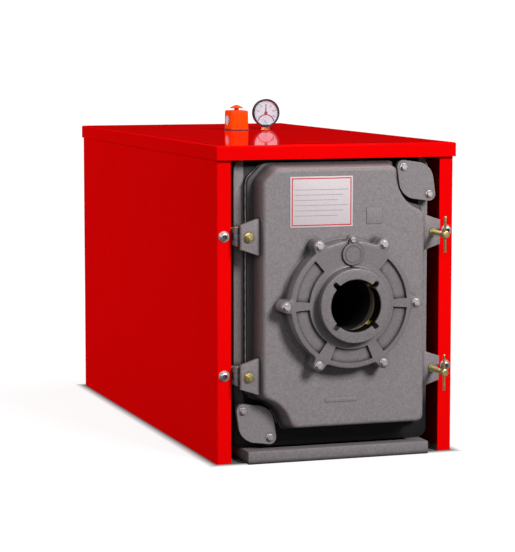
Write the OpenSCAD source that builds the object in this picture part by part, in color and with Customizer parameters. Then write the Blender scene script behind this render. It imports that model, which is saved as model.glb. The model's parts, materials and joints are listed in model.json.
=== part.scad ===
// Cast-iron sectional hot-water boiler in a sheet-steel jacket, with a hinged burner door.
// Millimetres, +Z up. Drawn with the jacket's front plane at y = 0 and the front towards -Y,
// then moved so that the origin is under the middle of the whole boiler.

/* [Jacket] */
// Width over the jacket's side panels
jacket_w = 636; // [600:1:700]
// Height from the floor to the top of the lid
jacket_h = 800; // [780:1:860]
// Depth of the jacket's side panels
jacket_d = 1350; // [1320:1:1500]
// Thickness of the jacket's sheet steel
sheet = 1.5; // [1:0.1:2.5]
// Width of the side panels' front flanges
front_flange_w = 37; // [30:1:40]
// Width of the side panels' rear flanges
rear_flange_w = 25; // [15:1:40]
// Height of the lid's turned-down lip
lid_lip = 36; // [25:1:36]
// How far the lid stands out past the sides
lid_side_overhang = 4; // [3:0.5:10]
// How far the lid stands out past the front
lid_front_overhang = 12; // [6:1:20]
// How far the lid stands out past the back
lid_back_overhang = 4; // [3:0.5:10]
// Gap between the side panels and the floor
panel_floor_gap = 2; // [0:0.5:5]
// Radius of a jacket fixing bolt's head
jacket_bolt_head_r = 10.5; // [8:0.5:11]
// How far a jacket fixing bolt's head stands out of the flange
jacket_bolt_proud = 10; // [8:0.5:11]

/* [Base frame] */
// Width over the base frame
base_w = 488; // [440:1:520]
// Height of the base frame's channel
base_h = 33; // [25:1:35]
// Width of the channel's legs
base_leg_w = 42; // [30:1:60]
// Thickness of the channel's walls
base_t = 5; // [3:0.5:8]
// How far the base frame stands out in front of the jacket
base_front = 27; // [10:1:40]

/* [Sections] */
// Gap between the sections and the jacket's side panels
section_side_gap = 56; // [48:1:62]
// Gap between the sections and the lid
section_top_gap = 36.5; // [34.5:0.5:46]
// Corner radius of a section
section_corner_r = 24; // [10:1:40]
// Gap between the sections and the jacket's back
section_rear_gap = 115; // [100:1:200]
// How far the front section's face is set back behind the jacket's front
section_setback = 35; // [32:1:50]
// Radius of the furnace
furnace_r = 140; // [120:1:150]
// Width of one flue way
flueway_w = 40; // [24:1:46]
// Height of one flue way
flueway_h = 108; // [80:1:115]
// Wall left between two flue ways
flueway_web = 18; // [12:1:30]
// How far the sealing rim stands out of the front section
rim_proud = 2.7; // [1.5:0.1:4]

/* [Port covers] */
// Distance from a section's side in to a port's centre
port_side = 47; // [46:1:57]
// Distance from the sections' lower edge up to the lower port's centre
port_low = 65; // [54:1:71]
// Distance from the sections' top down to the upper port's centre
port_top = 58; // [56:1:67]
// Radius of a port cover's round middle
cover_r = 47; // [40:1:50]
// Distance from a cover's centre to each of its bolts
cover_bolt_d = 50; // [44:1:52]
// Radius of a cover's ends
cover_end_r = 17; // [14:1:18]
// Thickness of a port cover
cover_t = 12; // [8:1:14]
// Radius of the water way behind a port cover
port_bore_r = 30; // [20:1:36]

/* [Burner door] */
// Height of the burner's centre over the sections' middle
burner_up = 7.5; // [0:0.5:12]
// Distance from a section's side in to the door's flange
door_side_gap = 26; // [25:1:37]
// Distance from the sections' lower edge up to the door's flange
door_low_gap = 47; // [34:1:57]
// Distance from the sections' top down to the door's flange
door_top_gap = 6; // [5:1:17]
// Cut of the flange's upper left corner
door_corner_cut = 42; // [30:1:60]
// How far the door's face stands out in front of the jacket
door_proud = 60; // [52:1:66]
// Thickness of the door's flange
door_flange_t = 12; // [8:1:16]
// Width of the flange outside the door's body
door_flange_lip = 9; // [6:1:12]
// How much the body narrows on each side from the flange to the face
door_draft = 10; // [6:1:14]
// Size of the rounded edge of the door's face
door_edge = 11; // [6:1:14]
// Thickness of the door's casting
door_wall = 14; // [10:1:18]
// Clearance of the door round the port covers
door_notch_gap = 8; // [7:0.5:10]
// Diameter of the rope seal
rope_d = 12; // [10:0.5:14]

/* [Door lugs and hinges] */
// Distance from the lower port up to the lower lugs' centre
lug_low = 126; // [117:1:137]
// Distance from the upper port down to the upper lugs' centre
lug_top = 130; // [114:1:144]
// Height of a lug at the door
lug_root_h = 92; // [80:1:100]
// Height of a lug at its outer end
lug_end_h = 62; // [56:1:70]
// Gap between a lug's outer end and the jacket's side
lug_end_gap = 51; // [50:1:54]
// Thickness of a lug
lug_t = 14; // [10:1:16]
// How far a lug's face is set back behind the door's face
lug_setback = 20; // [16:1:24]
// Distance of a lug's bolt from the lug's outer end
lug_bolt_in = 20; // [18:0.5:21]
// Radius of the lug bolts and clamp screws
lug_bolt_r = 6; // [5:0.25:6.5]
// Distance of the hinge pins' axis outside the lugs' ends
hinge_out = 1; // [0:0.5:2]
// Radius of a hinge knuckle
knuckle_r = 10; // [8:0.5:10.5]
// Radius of a hinge pin
hinge_pin_r = 5; // [4:0.25:6]
// Height of the door's hinge knuckle
knuckle_h = 16; // [12:1:20]
// Height of each of the boiler's hinge knuckles
prong_h = 13; // [10:1:16]
// Length of a clamp's T-bar
clamp_bar_l = 92; // [70:1:100]
// Radius of a clamp's T-bar
clamp_bar_r = 3.3; // [2.5:0.1:4]
// Radius of a clamp's hub
clamp_hub_r = 9; // [7.5:0.5:11]
// How far a clamp's hub stands out in front of the jacket
clamp_proud = 127; // [120:1:135]

/* [Burner plate] */
// Diameter of the circle of the plate's ear bolts
ear_pcd = 344; // [340:1:350]
// Radius of an ear
ear_r = 15; // [13:0.5:16]
// Radius of an ear's bolt hole
ear_hole_r = 5.5; // [4:0.25:6]
// Outer radius of the burner plate
plate_r = 160; // [154:1:162]
// Thickness of the burner plate
plate_t = 14; // [10:1:18]
// How far the collar under the plate stands out of the door
collar_h = 36; // [28:1:44]
// Radius of the burner's bore
burner_bore_r = 65; // [55:0.5:68]
// Radius of the burner plate's hub
hub_r = 93; // [88:1:94]
// How far the hub stands out of the burner plate
hub_h = 30; // [20:1:36]
// Width of the hub's slots
hub_slot_w = 13; // [8:0.5:16]
// Radius from the burner's centre to the slots' ends
hub_slot_reach = 81; // [76:1:86]
// Depth of the plate's pockets
pocket_depth = 4; // [2:0.5:6]
// Inner radius of the plate's pockets
pocket_in_r = 113; // [108:1:118]
// Outer radius of the plate's pockets
pocket_out_r = 146; // [138:1:148]

/* [Sight hole] */
// Height of the sight hole over the burner's centre
sight_up = 126; // [125:1:128]
// Radius of the sight hole
sight_hole_r = 12; // [8:0.5:14]
// Radius of the sight glass
sight_glass_r = 17; // [15:0.5:19]
// Thickness of the sight glass
sight_glass_t = 4; // [3:0.5:6]
// Radius of the sight cover's disc
sight_cover_r = 27; // [22:0.5:28]
// Thickness of the sight cover
sight_cover_t = 5; // [3:0.5:7]
// Distance from the sight cover's pivot to its disc's centre
sight_arm = 37; // [36:0.5:40]

/* [Rear connections] */
// Radius of the flue collar
flue_r = 75; // [60:0.5:90]
// Distance from the sections' top down to the flue's centre
flue_top = 137; // [110:1:150]
// How far the flue collar stands out of the back
flue_proud = 85; // [60:1:120]
// Wall thickness of the flue collar
flue_wall = 5; // [3:0.5:8]
// Outer radius of the water pipes
pipe_r = 30; // [25:0.5:36]
// Inner radius of the water pipes
pipe_bore_r = 26; // [20:0.5:30]
// Radius of a pipe flange
pipe_flange_r = 70; // [60:1:80]
// Diameter of the circle of a pipe flange's bolt holes
pipe_flange_pcd = 110; // [90:1:116]
// Radius of a pipe flange's bolt holes
pipe_flange_hole_r = 9; // [6:0.5:9]
// Thickness of a pipe flange
pipe_flange_t = 16; // [12:1:20]
// How far a pipe flange's face stands out of the back
pipe_proud = 60; // [40:1:80]

/* [Controls on the lid] */
// Width of the thermostat
thermostat_w = 52; // [40:1:60]
// Depth of the thermostat
thermostat_d = 69; // [45:1:80]
// Height of the thermostat's housing
thermostat_h = 53; // [45:1:70]
// Distance of the thermostat's centre to the right of the middle
thermostat_x = 22; // [10:1:60]
// Distance of the thermostat's centre behind the jacket's front
thermostat_y = 885; // [800:1:1000]
// Radius of the gauge
gauge_r = 41; // [36:0.5:50]
// Depth of the gauge's case
gauge_depth = 20; // [16:1:30]
// Distance of the gauge's centre to the right of the middle
gauge_x = 137; // [120:1:200]
// Distance of the gauge's centre behind the jacket's front
gauge_y = 962; // [800:1:1000]

/* [Hidden] */
$fn = 64;

red = [0.76, 0.0, 0.0];
iron = [0.5, 0.47, 0.47];
zinc = [0.78, 0.66, 0.32];
steel = [0.62, 0.6, 0.6];

// Small clearances between pieces that touch or turn in each other
skin = 0.3;
turn_gap = 0.4;
pin_gap = 0.1;

// Places along the boiler, from the section block to the door, and round the back
middle_count = 6;
section_pitch = (jacket_d - section_rear_gap - section_setback) / (middle_count + 2);
section_rear = section_setback + section_pitch * (middle_count + 2);
rim_y = section_setback - rim_proud;
rope_back = rim_y - skin;
rope_front = rope_back - rope_d;
flange_back = rope_front;
flange_front = flange_back - door_flange_t;
face_y = -door_proud;
collar_y = face_y - collar_h;
plate_y = collar_y - plate_t;
hub_y = plate_y - hub_h;
flue_end = jacket_d + flue_proud;

// Sections inside the jacket, and what stands on their faces
lid_inner = jacket_h - sheet;
section_w = jacket_w - 2 * section_side_gap;
section_low = base_h;
section_top = lid_inner - section_top_gap;
section_h = section_top - section_low;
burner_z = section_low + section_h / 2 + burner_up;
port_x = section_w / 2 - port_side;
port_low_z = section_low + port_low;
port_high_z = section_top - port_top;
door_half_w = section_w / 2 - door_side_gap;
door_low_z = section_low + door_low_gap;
door_high_z = section_top - door_top_gap;
lug_low_z = port_low_z + lug_low;
lug_high_z = port_high_z - lug_top;
lug_end_x = jacket_w / 2 - lug_end_gap;
lug_bolt_x = lug_end_x - lug_bolt_in;
hinge_x = lug_end_x + hinge_out;
flue_z = section_top - flue_top;

// Jacket bolts, in the middle of the front flanges
jacket_bolt_x = jacket_w / 2 - front_flange_w / 2;
jacket_bolt_r = 6;
washer_t = 2.5;
washer_r = 14;
back_hole_gap = 8;

// Port covers and the hubs that they close
cover_front = -4;
cover_back = cover_front + cover_t;
port_flange_t = 12;
cover_hole_r = 5.5;
port_neck_r = 40;

// Hex bolts of the port covers and of the burner plate's ears
hex_head_h = 6.5;
hex_washer_t = 1.6;
hex_washer_ratio = 1.3;
cover_head_r = 8;
ear_head_r = 9;

// Flue ways and the seat of the rope seal
flueway_count = 7;
flueway_low_z = burner_z - furnace_r - flueway_web - flueway_h;
flueway_high_z = burner_z + furnace_r + flueway_web;
seal_inset = 3;
seat_w = rope_d + 2 * seal_inset;
rear_plate_t = 40;

// Lugs on the door, and the brackets beside it
lug_front = face_y + lug_setback;
lug_back = lug_front + lug_t;
lug_shoulder_x = lug_end_x - 44;
lug_root_x = door_half_w - door_flange_lip - door_draft - 20;
lug_edge_cut = 6;
knuckle_gap = 2;
hinge_y = lug_back + knuckle_r + knuckle_gap;
bracket_h = knuckle_h + 2 * prong_h;
bracket_front = sheet;
bracket_hole_depth = 26;
bracket_in_x = door_half_w + 7;
bracket_out_x = jacket_w / 2 - sheet - 4;
clamp_hole_r = lug_bolt_r + 2;

// Hinge straps with their bolts, and clamp screws
strap_t = 8;
strap_h = 40;
strap_in_x = lug_bolt_x - 16;
strap_wide_x = hinge_x - knuckle_r - 5;
pin_head_h = 4;
pin_tail = 3;
nut_r = 11;
nut_t = 10;
bolt_head_t = 7;
bolt_end = 5;
clamp_hub_l = 18;
clamp_tip_gap = 5.5;
clamp_ring_r = lug_bolt_r + 4;
clamp_ring_t = 3;

// Door body, with notches that clear a cover's disc and ends alike, its cavity and the board in it
door_corner_r = 16;
notch_step = cover_r - cover_end_r;
notch_out = (cover_bolt_d * cover_bolt_d - notch_step * notch_step) / (2 * notch_step);
door_notch_r = cover_r + notch_out + door_notch_gap;
burner_clear_r = burner_bore_r + 9;
cavity_inset = door_flange_lip + door_draft + door_wall;
cavity_front = face_y + door_wall;
board_proud = 4;
gasket_d = 6;

// Pockets of the burner plate, in degrees from the right, and the sight cover on it
pocket_spans = [[4, 50], [130, 176], [184, 235], [247, 293], [305, 356]];
sight_pin_r = 3;
sight_head_r = 7;
sight_head_t = 4;
sight_eye_r = 9;
sight_tab_w = 5;
sight_tab = 2;
sight_boss_r = 12;
sight_neck_top = sight_eye_r * 0.7;
sight_neck_low = sight_cover_r * 0.55;
sight_gap = 1;
sight_back = plate_y - sight_gap;
sight_front = sight_back - sight_cover_t;

// Flue collar's foot, thermostat and gauge
collar_foot_r = flue_r + 18;
collar_foot_t = 12;
flue_bead_r = flue_r + 4;
flue_bead_w = 6;
thermostat_base_t = 4;
thermostat_base_lip = 0.5;
knob_neck_r = 7;
knob_neck_h = 6.5;
knob_r = 19;
knob_rim_h = 1.5;
knob_tip_r = 4;
knob_h = 15.5;
gauge_pipe_r = 7;
gauge_pipe_l = 30;
gauge_nut_r = 14;
gauge_nut_h = 4;
gauge_neck_h = 1.2;
gauge_wall = 2.5;
gauge_glass_t = 2;
gauge_glass_depth = 1;
gauge_dial_t = 1.5;
gauge_dial_depth = 8;
gauge_z = jacket_h + gauge_nut_h + gauge_neck_h + gauge_r;

// Middle of the boiler from its foremost to its rearmost face
mid_y = (min(hub_y, -clamp_proud) + flue_end) / 2;

// Moves a piece from the jacket's front to the boiler's own origin
module placed() translate([0, -mid_y, 0]) children();

// Extrudes an outline in X and Z from one y to another
module along_y(y0, y1) translate([0, y1, 0]) rotate([90, 0, 0]) linear_extrude(y1 - y0) children();

// A cylinder along Y between two y places
module rod_y(r, y0, y1, x = 0, z = 0, sides = 64)
    translate([x, y1, z]) rotate([90, 0, 0]) cylinder(r = r, h = y1 - y0, $fn = sides);

// A rectangle with round corners, from its lower left corner
module round_rect(w, h, r) {
    translate([r, 0]) square([w - 2 * r, h]);
    translate([0, r]) square([w, h - 2 * r]);
    for (x = [r, w - r], z = [r, h - r]) translate([x, z]) circle(r);
}

// Copies a piece at both port places: lower left and upper right
module at_lower_port() translate([-port_x, 0, port_low_z]) children();
module at_upper_port() translate([port_x, 0, port_high_z]) children();

// Base frame: a welded channel frame under the sections
module channel_rail(length) {
    cube([length, base_t, base_h]);
    cube([length, base_leg_w, base_t]);
    translate([0, 0, base_h - base_t]) cube([length, base_leg_w, base_t]);
}

module base_frame() {
    length = section_rear + base_front;
    color(iron) placed() translate([-base_w / 2, -base_front, 0]) {
        channel_rail(base_w);
        translate([base_w, length, 0]) rotate([0, 0, 180]) channel_rail(base_w);
        translate([0, length, 0]) rotate([0, 0, -90]) channel_rail(length);
        translate([base_w, 0, 0]) rotate([0, 0, 90]) channel_rail(length);
    }
}

// Jacket: side panels with front and rear flanges, a lid with a lip, and a back panel
module side_panel() {
    wall_h = lid_inner - panel_floor_gap;
    difference() {
        translate([-jacket_w / 2, 0, panel_floor_gap]) {
            cube([sheet, jacket_d, wall_h]);
            cube([front_flange_w, sheet, wall_h]);
            translate([0, jacket_d - sheet, 0]) cube([rear_flange_w, sheet, wall_h]);
        }
        for (z = [lug_low_z, lug_high_z]) rod_y(jacket_bolt_r + skin, -1, sheet + 1, -jacket_bolt_x, z);
    }
}

module left_panel() { color(red) placed() side_panel(); }
module right_panel() { color(red) placed() mirror([1, 0, 0]) side_panel(); }

module lid() {
    w = jacket_w + 2 * lid_side_overhang;
    d = jacket_d + lid_front_overhang + lid_back_overhang;
    color(red) placed() difference() {
        translate([-w / 2, -lid_front_overhang, jacket_h - lid_lip]) difference() {
            cube([w, d, lid_lip]);
            translate([sheet, sheet, -1]) cube([w - 2 * sheet, d - 2 * sheet, lid_lip - sheet + 1]);
        }
        translate([gauge_x, gauge_y, lid_inner - 1]) cylinder(r = gauge_pipe_r + skin, h = sheet + 2);
    }
}

module back_panel() {
    color(red) placed() difference() {
        translate([-jacket_w / 2 + sheet + skin, jacket_d - 2 * sheet, base_h])
            cube([jacket_w - 2 * sheet - 2 * skin, sheet, lid_inner - base_h]);
        rod_y(flue_r + back_hole_gap, jacket_d - 3 * sheet, jacket_d + 1, 0, flue_z);
        for (p = [[-port_x, port_low_z], [port_x, port_high_z]])
            rod_y(pipe_r + back_hole_gap, jacket_d - 3 * sheet, jacket_d + 1, p.x, p.y);
    }
}

// Bolts that hold the jacket's front flanges to the brackets
module jacket_bolt() {
    rod_y(jacket_bolt_head_r, -jacket_bolt_proud, -washer_t);
    rod_y(washer_r, -washer_t, 0);
    rod_y(jacket_bolt_r, 0, bracket_front + bracket_hole_depth - 2);
}

module jacket_bolts() {
    color(steel) placed() for (x = [-jacket_bolt_x, jacket_bolt_x], z = [lug_low_z, lug_high_z])
        translate([x, 0, z]) jacket_bolt();
}

// Sections: castings with a furnace and flue ways, standing on the base frame

module flueways() {
    pitch = flueway_w + flueway_web;
    reach = (flueway_count - 1) / 2;
    for (i = [-reach : reach]) {
        if (i > -reach + 0.5) translate([i * pitch - flueway_w / 2, flueway_low_z])
            round_rect(flueway_w, flueway_h, flueway_w / 3);
        if (i < reach - 0.5) translate([i * pitch - flueway_w / 2, flueway_high_z])
            round_rect(flueway_w, flueway_h, flueway_w / 3);
    }
}

module section_blank() translate([-section_w / 2, section_low])
    round_rect(section_w, section_h, section_corner_r);

module section_outline() {
    difference() {
        section_blank();
        translate([0, burner_z]) circle(furnace_r, $fn = 96);
        flueways();
    }
}

module section_casting(y0, depth = section_pitch) along_y(y0, y0 + depth) section_outline();

// Outline of the door's flange and of the seat behind it, pulled in by an inset
module door_outline(inset = 0) {
    x = door_half_w - inset;
    low = door_low_z + inset;
    high = door_high_z - inset;
    cut = door_corner_cut - inset * (2 - sqrt(2));
    difference() {
        polygon([[-x, low], [x, low], [x, high], [-x + cut, high], [-x, high - cut]]);
        translate([-port_x, port_low_z]) rotate(180) door_notch(inset);
        translate([port_x, port_high_z]) door_notch(inset);
    }
}

module seal_ring(inset, width) difference() { door_outline(inset); door_outline(inset + width); }

// An end of an outline: a small circle at some reach, joined by tangents to a disc at the middle
module tangent_end(disc_r, end_r, reach) {
    lean = acos((disc_r - end_r) / reach);
    translate([reach, 0]) circle(end_r);
    polygon([
        disc_r * [cos(lean), -sin(lean)],
        [reach, 0] + end_r * [cos(lean), -sin(lean)],
        [reach, 0] + end_r * [cos(lean), sin(lean)],
        disc_r * [cos(lean), sin(lean)]]);
}

// Outline of a port cover: a disc with two ends along its diagonal
module cover_outline() {
    circle(cover_r);
    for (turn = [-45, 135]) rotate(turn) tangent_end(cover_r, cover_end_r, cover_bolt_d);
}

// Notch of the door round a port cover, with its middle towards the door's corner
module door_notch(inset = 0) rotate(45) translate([notch_out, 0]) circle(door_notch_r + inset);

module at_cover_bolts() for (turn = [-45, 135])
    rotate([0, -turn, 0]) translate([cover_bolt_d, 0, 0]) children();

module port_hub() {
    along_y(cover_back, cover_back + port_flange_t) cover_outline();
    rod_y(port_neck_r, cover_back, section_setback + 1);
}

module port_bore() {
    rod_y(port_bore_r, cover_back - 1, section_setback + section_pitch / 2);
    at_cover_bolts() rod_y(cover_hole_r, cover_back - 1, cover_back + port_flange_t + 1);
}

// Brackets on the front section beside the door: they carry the jacket's flanges and the hinge pins

module bracket_block() {
    difference() {
        translate([bracket_in_x, bracket_front, -bracket_h / 2])
            cube([bracket_out_x - bracket_in_x, section_setback - bracket_front, bracket_h]);
        rod_y(jacket_bolt_r + skin, bracket_front - 1, bracket_front + bracket_hole_depth, jacket_bolt_x);
    }
}

module hinge_prongs() {
    for (z = [-bracket_h / 2, knuckle_h / 2 + turn_gap / 2]) translate([hinge_x, 0, z]) difference() {
        h = prong_h - turn_gap / 2;
        union() {
            translate([0, hinge_y, 0]) cylinder(r = knuckle_r, h = h);
            translate([-knuckle_r, hinge_y, 0]) cube([2 * knuckle_r, bracket_front - hinge_y + 1, h]);
        }
        translate([0, hinge_y, -1]) cylinder(r = hinge_pin_r, h = h + 2);
    }
}

module hinge_bracket() {
    bracket_block();
    hinge_prongs();
}

module clamp_bracket() difference() {
    bracket_block();
    rod_y(clamp_hole_r, bracket_front - 1, section_setback + 1, lug_bolt_x);
}

module hinge_brackets() {
    color(iron) placed() for (z = [lug_low_z, lug_high_z])
        translate([0, 0, z]) mirror([1, 0, 0]) hinge_bracket();
}

module clamp_brackets() {
    color(iron) placed() for (z = [lug_low_z, lug_high_z]) translate([0, 0, z]) clamp_bracket();
}

module front_section() {
    color(iron) placed() difference() {
        union() {
            section_casting(section_setback);
            along_y(rim_y, section_setback + 1) seal_ring(0, seat_w);
            at_lower_port() port_hub();
            at_upper_port() port_hub();
        }
        at_lower_port() port_bore();
        at_upper_port() port_bore();
    }
}

module middle_section(i) { color(iron) placed() section_casting(section_setback + i * section_pitch); }

module middle_section_1() middle_section(1);
module middle_section_2() middle_section(2);
module middle_section_3() middle_section(3);
module middle_section_4() middle_section(4);
module middle_section_5() middle_section(5);
module middle_section_6() middle_section(6);

// Rear section, and the rear plate that closes it but for the flue outlet over the furnace

module rear_section() {
    color(iron) placed() section_casting(section_rear - section_pitch, section_pitch - rear_plate_t);
}

module rear_plate() {
    color(iron) placed() difference() {
        along_y(section_rear - rear_plate_t, section_rear) section_blank();
        rod_y(flue_r - flue_wall, section_rear - rear_plate_t - 1, section_rear + 1, 0, flue_z);
    }
}

// Port covers, seated on the front section's hubs, and their bolts

module port_cover() difference() {
    along_y(cover_front, cover_back) cover_outline();
    at_cover_bolts() rod_y(cover_hole_r, cover_front - 1, cover_back + 1);
}

module port_covers() {
    color(iron) placed() {
        at_upper_port() port_cover();
        at_lower_port() port_cover();
    }
}

// A hex bolt on a washer, its head towards the front, seated at y0 with its shank's end at y1
module hex_bolt(head_r, shank_r, y0, y1) {
    rod_y(head_r, y0 - hex_washer_t - hex_head_h, y0 - hex_washer_t, 0, 0, 6);
    rod_y(head_r * hex_washer_ratio, y0 - hex_washer_t, y0);
    rod_y(shank_r, y0, y1);
}

module cover_bolt_pair() at_cover_bolts()
    hex_bolt(cover_head_r, cover_hole_r - skin, cover_front, cover_back + port_flange_t);

module cover_bolts() {
    color(zinc) placed() {
        at_upper_port() cover_bolt_pair();
        at_lower_port() cover_bolt_pair();
    }
}

// Connections at the back: flue collar, flow pipe and return pipe

module flue_collar() {
    color(iron) placed() difference() {
        union() {
            rod_y(flue_r, section_rear, flue_end, 0, flue_z);
            rod_y(collar_foot_r, section_rear, section_rear + collar_foot_t, 0, flue_z);
            rod_y(flue_bead_r, jacket_d, jacket_d + flue_bead_w, 0, flue_z);
        }
        rod_y(flue_r - flue_wall, section_rear - 1, flue_end + 1, 0, flue_z);
    }
}

module water_pipe() {
    y1 = jacket_d + pipe_proud;
    difference() {
        union() {
            rod_y(pipe_r, section_rear, y1);
            rod_y(pipe_flange_r, y1 - pipe_flange_t, y1);
        }
        rod_y(pipe_bore_r, section_rear - 1, y1 + 1);
        for (a = [45 : 90 : 315]) rotate([0, a, 0])
            rod_y(pipe_flange_hole_r, y1 - pipe_flange_t - 1, y1 + 1, pipe_flange_pcd / 2);
    }
}

module flow_pipe() { color(iron) placed() at_upper_port() water_pipe(); }
module return_pipe() { color(iron) placed() at_lower_port() water_pipe(); }

// Hinge pins, held in the brackets
module hinge_pins() {
    color(zinc) placed() for (z = [lug_low_z, lug_high_z])
        translate([-hinge_x, hinge_y, z - bracket_h / 2 - pin_tail]) {
            cylinder(r = hinge_pin_r - pin_gap, h = bracket_h + pin_tail);
            translate([0, 0, bracket_h + pin_tail]) cylinder(r = hinge_pin_r + 2.5, h = pin_head_h);
        }
}

// Thermostat on the lid: gasket, housing and a knob like a flat cone on a neck

module thermostat_box(w, d, h, r) translate([thermostat_x - w / 2, thermostat_y - d / 2, 0])
    linear_extrude(h) round_rect(w, d, r);

module thermostat_base() {
    color("dimgray") placed() translate([0, 0, jacket_h])
        thermostat_box(thermostat_w + 2 * thermostat_base_lip, thermostat_d + 2 * thermostat_base_lip,
            thermostat_base_t, 5);
}

module thermostat_housing() {
    color("orangered") placed() translate([0, 0, jacket_h + thermostat_base_t])
        thermostat_box(thermostat_w, thermostat_d, thermostat_h, 4);
}

module thermostat_knob() {
    z = jacket_h + thermostat_base_t + thermostat_h;
    color("orangered") placed() translate([thermostat_x, thermostat_y, z]) rotate_extrude()
        polygon([[0, 0], [knob_neck_r, 0], [knob_neck_r, knob_neck_h], [knob_r, knob_neck_h],
            [knob_r, knob_neck_h + knob_rim_h], [knob_tip_r, knob_h], [0, knob_h]]);
}

// Gauge on the lid: brass fitting, case, dial and glass

module at_gauge() translate([gauge_x, gauge_y, gauge_z]) children();

module gauge_stem() {
    color(zinc) placed() translate([gauge_x, gauge_y, jacket_h]) {
        cylinder(r = gauge_nut_r, h = gauge_nut_h, $fn = 6);
        translate([0, 0, -gauge_pipe_l]) cylinder(r = gauge_pipe_r, h = gauge_pipe_l);
    }
}

module gauge_case() {
    color("dimgray") placed() at_gauge() {
        difference() {
            rod_y(gauge_r, -gauge_depth / 2, gauge_depth / 2);
            rod_y(gauge_r - gauge_wall, -gauge_depth / 2 - 1, -gauge_depth / 2 + gauge_dial_depth);
        }
        translate([0, 0, -gauge_r - gauge_neck_h])
            cylinder(r = gauge_pipe_r, h = gauge_neck_h + gauge_wall / 2);
    }
}

module gauge_dial() {
    y1 = -gauge_depth / 2 + gauge_dial_depth;
    color("white") placed() at_gauge() rod_y(gauge_r - gauge_wall - skin, y1 - gauge_dial_t, y1);
}

module gauge_glass() {
    y0 = -gauge_depth / 2 + gauge_glass_depth;
    color([0.9, 0.95, 1, 0.3]) placed() at_gauge()
        rod_y(gauge_r - gauge_wall - skin, y0, y0 + gauge_glass_t);
}

// Burner door: a drafted casting with a flange, lugs, and a collar under the burner plate

// One level of the door's body: five round corners, with the upper left one cut
module door_level(y, inset) {
    x = door_half_w - inset - door_corner_r;
    low = door_low_z + inset + door_corner_r;
    high = door_high_z - inset - door_corner_r;
    for (p = [[-x, low], [x, low], [x, high], [-x + door_corner_cut, high], [-x, high - door_corner_cut]])
        rod_y(door_corner_r, y, y + 0.01, p.x, p.y, 32);
}

module door_body() hull() {
    door_level(flange_front, door_flange_lip);
    door_level(face_y + door_edge, door_flange_lip + door_draft * 0.9);
    door_level(face_y + door_edge * 0.3, door_flange_lip + door_draft + door_edge * 0.3);
    door_level(face_y, door_flange_lip + door_draft + door_edge);
}

module lug_outline() {
    polygon([[lug_root_x, -lug_root_h / 2], [lug_shoulder_x, -lug_root_h / 2], [lug_end_x, -lug_end_h / 2],
        [lug_end_x, lug_end_h / 2], [lug_shoulder_x, lug_root_h / 2], [lug_root_x, lug_root_h / 2]]);
}

module lug(forked) difference() {
    along_y(lug_front, lug_back) lug_outline();
    rod_y(lug_bolt_r + turn_gap, lug_front - 1, lug_back + 1, lug_bolt_x);
    if (forked) translate([lug_bolt_x, lug_front - 1, -lug_bolt_r - turn_gap])
        cube([lug_bolt_in + 1, lug_t + 2, 2 * (lug_bolt_r + turn_gap)]);
    translate([lug_end_x, lug_front, 0]) rotate([0, 0, 45])
        cube([lug_edge_cut * sqrt(2), lug_edge_cut * sqrt(2), lug_root_h + 2], center = true);
}

module at_ears() for (a = [0 : 60 : 300]) rotate([0, -a, 0]) translate([ear_pcd / 2, 0, 0]) children();
module at_burner() translate([0, 0, burner_z]) children();

module door() {
    color(iron) placed() difference() {
        union() {
            door_body();
            along_y(flange_front, flange_back) door_outline();
            for (z = [lug_low_z, lug_high_z]) translate([0, 0, z]) {
                lug(forked = true);
                mirror([1, 0, 0]) lug(forked = false);
            }
            at_burner() {
                rod_y(plate_r, collar_y, face_y + 1);
                at_ears() rod_y(ear_r, collar_y, face_y + 1);
            }
        }
        along_y(cavity_front, flange_back + 1) door_outline(cavity_inset);
        at_lower_port() along_y(face_y - 1, flange_back + 1) rotate(180) door_notch();
        at_upper_port() along_y(face_y - 1, flange_back + 1) door_notch();
        at_burner() {
            rod_y(burner_clear_r, collar_y - 1, cavity_front + 1);
            rod_y(sight_hole_r, collar_y - 1, cavity_front + 1, 0, sight_up);
            at_ears() rod_y(ear_hole_r, collar_y - 1, face_y + 2);
        }
    }
}

// Insulating board inside the door, with ways for the burner and the sight hole

module door_insulation() {
    color("tan") placed() difference() {
        along_y(cavity_front, flange_back + board_proud) door_outline(cavity_inset + skin);
        at_burner() {
            rod_y(burner_clear_r, cavity_front - 1, flange_back + board_proud + 1);
            rod_y(sight_hole_r, cavity_front - 1, flange_back + board_proud + 1, 0, sight_up);
        }
    }
}

// Rope seal between the door's flange and the front section's rim
module rope_seal() {
    color("gainsboro") placed() along_y(rope_front, rope_back) seal_ring(seal_inset, rope_d);
}

// Burner plate: a ring with ears, pockets and a slotted hub, bolted over the collar

module sector(a0, a1, r) polygon([[0, 0], for (i = [0 : 4])
    let (a = a0 + (a1 - a0) * i / 4) 2 * r * [cos(a), sin(a)]]);

module pockets() along_y(plate_y - 1, plate_y + pocket_depth) for (span = pocket_spans)
    intersection() {
        difference() { circle(pocket_out_r, $fn = 96); circle(pocket_in_r, $fn = 96); }
        sector(span[0], span[1], pocket_out_r);
    }

module hub_slots() for (a = [45 : 90 : 315]) rotate([0, a, 0]) {
    rod_y(hub_slot_w / 2, hub_y - 1, collar_y + 1, hub_slot_reach - hub_slot_w / 2);
    translate([0, hub_y - 1, -hub_slot_w / 2])
        cube([hub_slot_reach - hub_slot_w / 2, collar_y - hub_y + 2, hub_slot_w]);
}

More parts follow.
